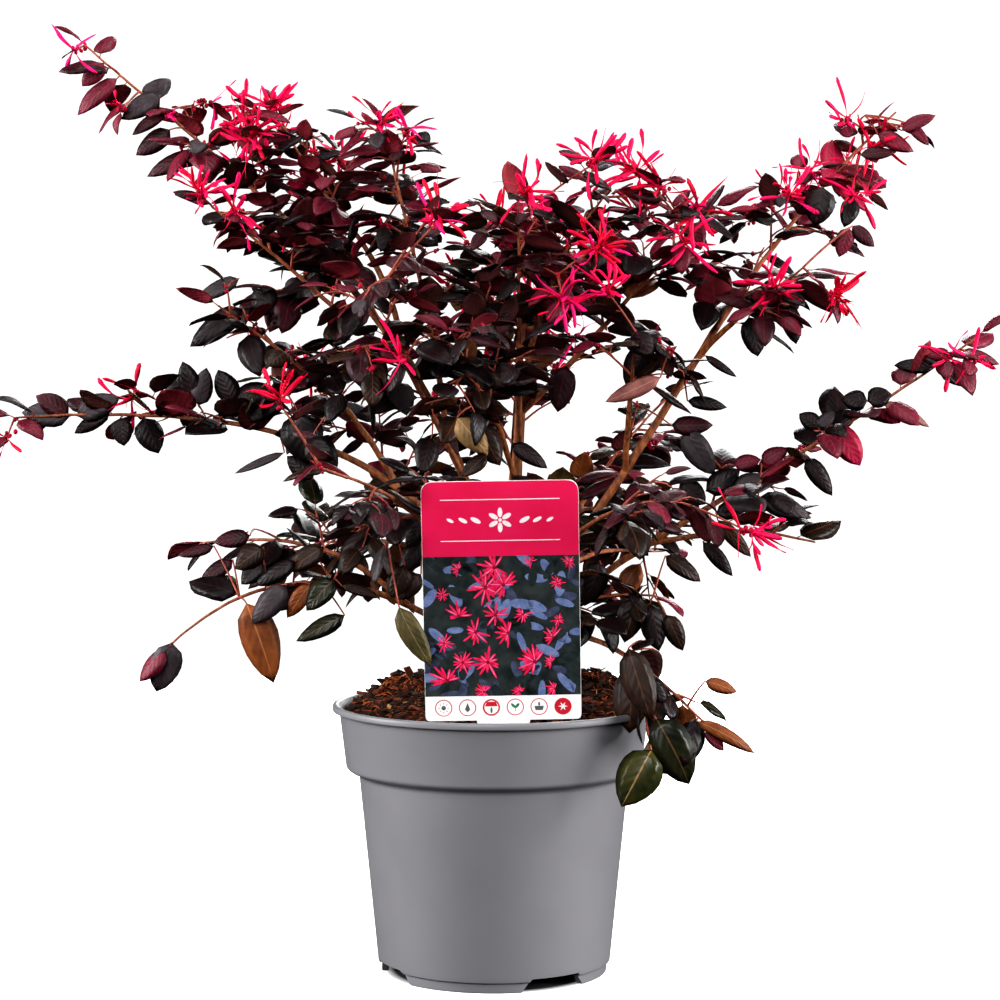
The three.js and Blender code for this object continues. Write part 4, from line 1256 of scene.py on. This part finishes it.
def add_blade(batch, base, direction, across, length, width, arch, rng):
    """A leaf that is folded along its midrib, arched along its length and waved along its edge."""
    face = across.cross(direction)
    half = length * width / 2 * OUTLINE
    fold = math.tan(math.radians(rng.uniform(4, 24)))
    wave = rng.uniform(0.02, 0.16)
    phase = rng.uniform(0, 2 * math.pi)
    bend = math.radians(arch) * ALONG
    sweep = rng.uniform(-0.09, 0.09)
    out = np.abs(ACROSS)
    height = half * (fold * out - 0.34 * out ** 3)
    height += wave * half * out * np.sin(7 * ALONG + phase + 1.4 * (ACROSS > 0))
    height += 0.16 * SIDE * (1 - out ** 2)
    x = ACROSS * half + sweep * length * ALONG ** 2
    y = length * np.sin(bend) / math.radians(arch) + height * np.sin(bend)
    z = -length * (1 - np.cos(bend)) / math.radians(arch) + height * np.cos(bend)
    points = np.outer(x, across) + np.outer(y, direction) + np.outer(z, face) + np.array(base)
    batch.add(points, LEAF_FACES, LEAF_SLOTS, np.stack([ACROSS, ALONG], axis=1))


# Growth

leaves = {}
twigs = Batch()
stems = Batch()
leaf_cells = {}
shoots = []

# How often each colour of leaf comes in the lower, the middle and the upper crown, and how many
# times as often at the tip of a stem as at its root. More black and umber leaves low in the crown
# are painted shade, and more grey dusk leaves higher up are painted sheen.
SPRAY_COLOURS = {
    "black": (14, 14, 10, 0.4),
    "umber": (9, 4, 0.6, 0.4),
    "burgundy": (1.3, 4.5, 8, 1),
    "plum": (0.14, 0.8, 3, 4),
    "crimson": (0.01, 0.08, 0.34, 5),
    "dusk": (0.8, 1.7, 2, 1),
    "green": (4, 0.8, 0.05, 0.5),
    "bronze": (0.5, 0.04, 0.02, 1),
}
RED = ("plum", "crimson")
LOWER_CROWN = 270
UPPER_CROWN = 380


def spray_colour(mass, height, outer, rng):
    """The colour of a spray at a height, and as far out as outer says, from root to tip."""
    # the height paints shade and sheen: darker colours low in the crown, grey ones higher up
    level = 0 if height < LOWER_CROWN else 1 if height < UPPER_CROWN else 2
    odds = [
        often[level] * lerp(1, often[3], outer) * (REDDER.get(mass, 1) if colour in RED else 1)
        for colour, often in SPRAY_COLOURS.items()]
    return rng.choices(list(SPRAY_COLOURS), odds)[0]


def crowded(place):
    """True if another leaf's middle is too near. Otherwise the place is taken."""
    cell = tuple(math.floor(value / CROWDING) for value in place)
    for dx in (-1, 0, 1):
        for dy in (-1, 0, 1):
            for dz in (-1, 0, 1):
                for other in leaf_cells.get((cell[0] + dx, cell[1] + dy, cell[2] + dz), ()):
                    if (other - place).length < CROWDING:
                        return True
    leaf_cells.setdefault(cell, []).append(place)
    return False


def add_leaf(mass, carrier, share, way, size, spray, rng):
    """A leaf on its petiole, to one side of a twig or at its end, unless something is in its way."""
    tangent = carrier.tangent(share)
    across = tangent.cross(UP).normalized() * way
    angle = math.radians(rng.uniform(*(END_LEAF_ANGLES if share > 0.99 else LEAF_ANGLES)))
    direction = tangent * math.cos(angle) + across * math.sin(angle)
    direction = swung(direction, rng.uniform(-LEAF_SPREAD, LEAF_SPREAD), tangent)
    direction.z += LIFTED.get(mass, 0) - rng.uniform(*LEAF_DROOP)
    direction.normalize()
    across = swung(direction.cross(UP).normalized(), rng.uniform(-LEAF_TILT, LEAF_TILT), direction)
    length = LEAF_LENGTH * size * rng.uniform(0.78, 1.14)
    root = carrier.point(share)
    base = root + direction * PETIOLE
    middle = base + direction * length * 0.5
    tip = base + direction * length * 0.92 - UP * length * 0.2
    aside = across * length * 0.3
    if not all(in_the_open(place) for place in (middle, tip, middle + aside, middle - aside)):
        return
    if any(in_a_gap(place) or limb_tree.find(place)[2] < LIMB_ROOM for place in (middle, tip)):
        return
    if crowded(middle):
        return
    tube(twigs, [root, base + direction * 0.8], [0.42, 0.34], 3)
    width, arch = rng.uniform(*LEAF_WIDTHS), rng.uniform(*LEAF_ARCHES)
    add_blade(leaves.setdefault(spray, Batch()), base, direction, across, length, width, arch, rng)


def leaf_out(mass, carrier, first, size, spray, rng):
    """Leaves to the left and the right of a twig in turn, and one at its end, of one spray or of many."""
    step = LEAF_STEP * SPARSE.get(mass, 1)
    count = max(1, round(carrier.length * (1 - first) / step))
    for i in range(count):
        share = lerp(first, 1, i / count)
        colour = spray or spray_colour(mass, carrier.point(share).z, share, rng)
        add_leaf(mass, carrier, share, 1 if i % 2 else -1, size * lerp(1, 0.72, share), colour, rng)
    add_leaf(mass, carrier, 1, 1, size * 0.66, spray or "plum", rng)


def add_twig(course, girth, tip_girth=TWIG_TIP_GIRTH, step=4, sway=0):
    """A twig's own wood, from just where it starts."""
    points, shares = wood_line(course, step, sway)
    points[0] = course.point(0)
    tube(twigs, points, [lerp(girth, tip_girth, share) for share in shares], 5)


def grow_twig(mass, start, direction, length, girth, size, outer, rng, finer):
    """A side twig that droops towards its tip, with its leaves and with finer twigs on it."""
    end = start + direction * length - UP * length / 6
    course = Course(start, start + direction * length / 2, end, samples=16)
    checks = [course.point(share) for share in (0.35, 0.7, 1)]
    if not all(in_own_space(mass, place) and in_the_open(place) for place in checks):
        return
    if in_a_gap(course.point(1)):
        return
    add_twig(course, girth, step=5, sway=0.5)
    shoots.append((mass, course))
    spray = spray_colour(mass, start.z, outer, rng)
    if finer:
        for i, share in enumerate(FINER_SHARES):
            small = length * rng.uniform(0.34, 0.6) * lerp(1.1, 0.8, share)
            if small < FINEST_TWIG:
                continue
            turn = (90 if i % 2 else -90) + rng.uniform(-FINER_SPREAD, FINER_SPREAD)
            way = branching(course.tangent(share), rng.uniform(*FINER_ANGLES), turn)
            grow_twig(mass, course.point(share), way, small, girth * 0.7, size * 0.9, outer, rng, False)
    leaf_out(mass, course, 0.2 if finer else 0.35, size, spray, rng)


def grow_mass(name, seed):
    """A mass of foliage: the stem that carries on from its bough, its side twigs and its leaves."""
    sizes, limb = LIMBS[name], limbs[name]
    rng = random.Random(seed)
    stem = Stretch(limb.course, limb.bare, 1)
    foot = limb.radius_at(limb.bare)
    points, shares = wood_line(stem, 3, 0.5)
    radii = [lerp(foot, STEM_TIP_GIRTH, share ** 0.7) for share in shares]
    tube(stems, points, radii, 9, bark_relief(0.08))
    count = round(sizes["twigs"] * FINER_TWIGS * (FULLER if name.startswith("back") else 1))
    for i in range(count):
        share = (i + 0.4) / count
        turn = i * DIVERGENCE + rng.uniform(-TWIG_SPREAD, TWIG_SPREAD)
        way = branching(stem.tangent(share), rng.uniform(*TWIG_ANGLES), turn)
        length = (sizes["spread"] + FINER_REACH) * lerp(1, 0.55, share) * rng.uniform(0.8, 1.15)
        if share > SLENDER_FROM and sizes["spread"] < SLENDER:
            continue
        size = lerp(1, TIP_LEAF, share)
        direction = (way + UP * TWIG_LIFT).normalized()
        grow_twig(name, stem.point(share), direction, length, TWIG_GIRTH, size, share, rng, True)
    shoots.append((name, stem))
    leaf_out(name, stem, 0.04, 0.95, None, rng)


# Blossoms

petals = {name: Batch() for name in PETAL_LOOKS}
calyces = Batch()


def add_ball(batch, centre, radius, rng):
    """A small ball, a little longer than wide."""
    rows, columns = 4, 7
    turns = [math.pi * i / rows for i in range(rows + 1)]
    profile = [(radius * (math.sin(turn) + 1e-4), -radius * math.cos(turn)) for turn in turns]
    stretch = rng.uniform(0.9, 1.3)

    def place(out, height, angle):
        return (
            centre.x + out * math.cos(angle), centre.y + out * math.sin(angle),
            centre.z + height * stretch)

    batch.add(*turned(profile, columns, place))


def add_petal(batch, base, direction, length, rng):
    """A crumpled ribbon, narrow at its root, that bends and twists towards its blunt tip."""
    steps = 10
    width = PETAL_WIDTH * rng.uniform(0.7, 1.15)
    bend = direction.cross(scatter(rng, 1, 1, 1)).normalized()
    curl = rng.uniform(-0.12, 0.12)
    twist = rng.uniform(-0.3, 0.3)
    point, heading, points = base.copy(), direction.copy(), []
    for i in range(steps + 1):
        share = i / steps
        heading = (heading + bend * curl + scatter(rng, 1, 1, 1) * 0.06).normalized()
        bend = (Matrix.Rotation(twist, 3, heading) @ (bend - heading * bend.dot(heading))).normalized()
        across = heading.cross(bend)
        half = width / 2 * min(1, 0.4 + 1.2 * share) * rng.uniform(0.88, 1.1)
        if i == steps:
            half *= 0.45
        points += [point - across * half, point + bend * 0.15, point + across * half, point - bend * 0.15]
        point = point + heading * length / steps
    faces = [(3, 2, 1, 0), tuple(4 * steps + k for k in range(4))]
    for i in range(steps):
        for k in range(4):
            ahead = (k + 1) % 4
            faces.append((4 * i + k, 4 * i + ahead, 4 * i + 4 + ahead, 4 * i + 4 + k))
    batch.add([tuple(p) for p in points], faces)


def add_buds(centre, counts, sizes, spreads, rng):
    """A knot of small buds."""
    for _ in range(rng.choice(counts)):
        offset = scatter(rng, *spreads)
        add_ball(calyces, centre + offset, rng.uniform(*sizes), rng)


def add_cluster(centre, axis, blossoms, rng):
    """A head of blossoms, each with four ribbon petals in a calyx, among knobbly buds."""
    main = rng.choices(list(petals), PETAL_ODDS)[0]
    for _ in range(round(blossoms * HEAD_SIZE)):
        batch = petals[main if rng.random() < 0.7 else rng.choice(list(petals))]
        pointing = (axis + scatter(rng, 0.6, 0.6, 0.6)).normalized()
        heart = centre + pointing * rng.uniform(2, 5)
        add_ball(calyces, heart, CALYX * rng.uniform(0.8, 1.15), rng)
        start = rng.uniform(0, 90)
        angles, lengths = YOUNG_PETALS if rng.random() < YOUNG_CHANCE else OPEN_PETALS
        for k in range(4):
            angle = rng.uniform(*angles)
            way = branching(pointing, angle, start + 90 * k + rng.uniform(-22, 22))
            length = PETAL_LENGTH * rng.uniform(*lengths)
            add_petal(batch, heart + pointing * CALYX * 0.6, way, length, rng)
    add_buds(centre, (5, 6, 7, 8), (0.8, 1.5), (1.3, 1.3, 1.1), rng)


def add_front_clusters():
    """A spur from the nearest twig to each place where a cluster shows from the front."""
    rng = random.Random(SEED + 500)
    carriers = []
    for mass, course in shoots:
        count = max(2, round(course.length / 6))
        for i in range(1, count + 1):
            place = course.point(i / count)
            carriers.append((mass, place, seen_at(place), course.tangent(i / count)))
    for x, z, blossoms in CLUSTERS:
        def cost(entry):
            _, place, seen, _ = entry
            return math.hypot(seen.x - x, seen.z - z) + 0.5 * place.y
        mass, root, _, tangent = min(carriers, key=cost)
        depth = (root.y - CAMERA.y) / -CAMERA.y
        aim = CAMERA + (Vector((x, 0, z - HEAD_RISE)) - CAMERA) * depth
        aim.y -= SPUR_FORWARD
        if (aim - root).length > SPUR_REACH:
            aim = root + (aim - root).normalized() * SPUR_REACH
        spur = Course(root, root.lerp(aim, 0.5) + UP * 1.5, aim, samples=12)
        add_twig(spur, 0.75, 0.55)
        if spur.length > LEAF_STEP:
            leaf_out(mass, spur, 0.1, 0.66, spray_colour(mass, aim.z, 0.6, rng), rng)
        axis = (aim - root + tangent * 4 + UP * 8 + Vector((0, -10, 0))).normalized()
        add_cluster(aim, axis, blossoms, rng)


def add_single_leaves():
    """The leaves that stand out, each on a thin twig from the nearest shoot, with its face forward."""
    rng = random.Random(SEED + 400)
    places = [course.point(i / 8) for _, course in shoots for i in range(1, 9)]
    for spray, root, tip, width, arch in SINGLE_LEAVES:
        base, way = Vector(root), Vector(tip) - Vector(root)
        start = min(places, key=lambda place: (place - base).length)
        stalk = Course(start, start.lerp(base, 0.5) + UP * 2, base, samples=12)
        add_twig(stalk, 0.7)
        direction = way.normalized()
        across = direction.cross(Vector((rng.uniform(-0.3, 0.3), -1, 0.3))).normalized()
        across = (across - direction * across.dot(direction)).normalized()
        add_blade(leaves.setdefault(spray, Batch()), base, direction, across, way.length, width, arch, rng)


def add_back_clusters():
    """Clusters at the ends of some of the twigs that face the back."""
    rng = random.Random(SEED + 600)
    for _, course in shoots:
        tip = course.point(1)
        if not within_reach(tip, -CLUSTER_INSIDE):
            continue
        if tip.y > 30 and tip.z > BACK_CLUSTER_HEIGHT and rng.random() < BACK_CLUSTER_CHANCE:
            add_cluster(tip, (course.tangent(1) + UP * 0.6).normalized(), rng.choice((2, 3, 4)), rng)


def add_end_buds():
    """Knots of small buds at the ends of some of the upper twigs."""
    rng = random.Random(SEED + 700)
    for _, course in shoots:
        tip = course.point(1)
        if tip.z > BUD_HEIGHT and rng.random() < BUD_CHANCE:
            add_buds(tip, (2, 3, 4, 5), (0.8, 1.4), (1, 1, 1), rng)


def make_shrub():
    make_bark()
    for _, root, tip, _, _ in SINGLE_LEAVES:
        crowded(Vector(root).lerp(Vector(tip), 0.5))
    for i, name in enumerate(LIMBS):
        grow_mass(name, SEED + i)
    add_single_leaves()
    add_front_clusters()
    add_back_clusters()
    add_end_buds()

    masses = ["leaves_" + name for name in LIMBS]
    young = bark_finish("bark_stems", (78, 34, 22), (138, 74, 44), (178, 110, 76))
    reddish = bark_finish("bark_twigs", (84, 30, 24), (140, 62, 44), (176, 98, 72))
    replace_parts(stems.build("stems", [young], "bark"), *masses)
    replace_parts(twigs.build("twigs", [reddish], "bark"), *masses)
    for name, batch in leaves.items():
        dark, light, rib, roughness, *below = LEAF_LOOKS[name]
        low, high = below or (dark, light)
        top = leaf_finish("leaf_" + name, dark, light, rib, roughness)
        under = leaf_finish("underside_" + name, low, high, high, 0.6, 0.2)
        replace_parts(batch.build("leaves_" + name, [top, under], "leaf"), *masses)
    for name, batch in petals.items():
        ribbon = petal_finish("petal_" + name, *PETAL_LOOKS[name])
        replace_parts(batch.build("petals_" + name, [ribbon], "petal"), *masses)
    calyx = petal_finish("calyx", (104, 8, 28), (176, 16, 56))
    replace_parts(calyces.build("calyces", [calyx], "petal"), *masses)


# The studio, in metres

FLOOR_RADIUS = 1.5
# The floor is painted dark under the pot, standing in for the pot's shadow seen through the notches
SHADE_RADIUS = 0.0605  # the floor is dark up to here, under the pot
PALE_RADIUS = 0.067  # and pale from here on


def make_floor():
    """A pale round floor, with painted shade under the pot: dark in the middle, where the pot's shadow
    falls. It is left out of reflections, so it casts no light up.
    """
    edit = bmesh.new()
    bmesh.ops.create_circle(edit, cap_ends=True, segments=96, radius=FLOOR_RADIUS)
    mesh = bpy.data.meshes.new("studio_floor")
    edit.to_mesh(mesh)
    edit.free()
    paper = Finish("studio_paper", (246, 246, 247), 0.9, Emission_Strength=0.8)
    middle = paper.node("VectorMath", {0: paper.node("TexCoord").outputs["Object"]}, operation="LENGTH")
    # painted shade: the glow and the colour turn dark towards the middle, under the pot
    shade = ((SHADE_RADIUS, (0, 0, 0)), (PALE_RADIUS, (255, 255, 255)))
    lit = paper.ramp(middle.outputs["Value"], *shade)
    paper.link(lit, paper.shader, "Emission Color")
    paper.paint(paper.mix(lit, (20, 20, 21), (246, 246, 247)))
    mesh.materials.append(paper.material)
    floor = bpy.data.objects.new("studio_floor", mesh)
    floor.visible_diffuse = False
    floor.visible_glossy = False
    bpy.context.collection.objects.link(floor)
    floor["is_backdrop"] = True


def add_light(name, place, aim_height, size, power):
    data = bpy.data.lights.new(name, "AREA")
    data.shape = "DISK"
    data.size = size
    data.energy = power
    light = bpy.data.objects.new(name, data)
    light.location = place
    light.rotation_euler = (Vector((0, 0, aim_height)) - Vector(place)).to_track_quat("-Z", "Y").to_euler()
    light.visible_camera = False
    bpy.context.collection.objects.link(light)


def make_studio():
    make_floor()
    world = bpy.data.worlds.new("studio")
    world.use_nodes = True
    background = world.node_tree.nodes["Background"]
    background.inputs["Color"].default_value = (1, 1, 1, 1)
    background.inputs["Strength"].default_value = 1.0
    bpy.context.scene.world = world
    world.cycles_visibility.diffuse = False
    world.cycles_visibility.glossy = False
    for name, settings in LIGHTS.items():
        add_light(name, *settings)

    camera = bpy.data.cameras.new("camera")
    camera.sensor_width = CAMERA_SENSOR
    camera.lens = CAMERA_LENS
    seen = bpy.data.objects.new("camera", camera)
    seen.location = CAMERA * MM
    seen.rotation_euler = (math.pi / 2 - CAMERA_PITCH, 0, 0)
    bpy.context.collection.objects.link(seen)
    bpy.context.scene.camera = seen
    bpy.context.scene.view_settings.view_transform = "Standard"
    bpy.context.scene.view_settings.look = "Medium High Contrast"


make_pot()
make_compost()
chip_dark = earth_finish("chip_dark", (24, 13, 9), (58, 32, 20), 6)
chip_red = earth_finish("chip_red", (62, 28, 16), (112, 54, 30), 6)
fibre_red = earth_finish("fibre_red", (120, 54, 26), (182, 96, 50), 6)
straw = earth_finish("straw", (168, 124, 78), (206, 166, 116), 6)
make_chips("chips_dark", 1500, 21, (2, 8), 3.5, chip_dark)
make_chips("chips_red", 300, 22, (2, 8), 5, chip_red)
make_chips("chips_straw", 30, 23, (2, 5), 4, straw)
make_fibres("fibres", 900, 24, 15, fibre_red)
make_fibres("fibres_dark", 500, 26, 20, chip_dark)
make_fibres("fibres_pale", 40, 25, 12, straw)
make_board()
make_fields()
make_picture()
make_signs()
make_shrub()
make_studio()

bpy.context.view_layer.update()
boxes = {"cad": cad_box, "visual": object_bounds()}
{name: [list(corner) for corner in box] for name, box in boxes.items()}
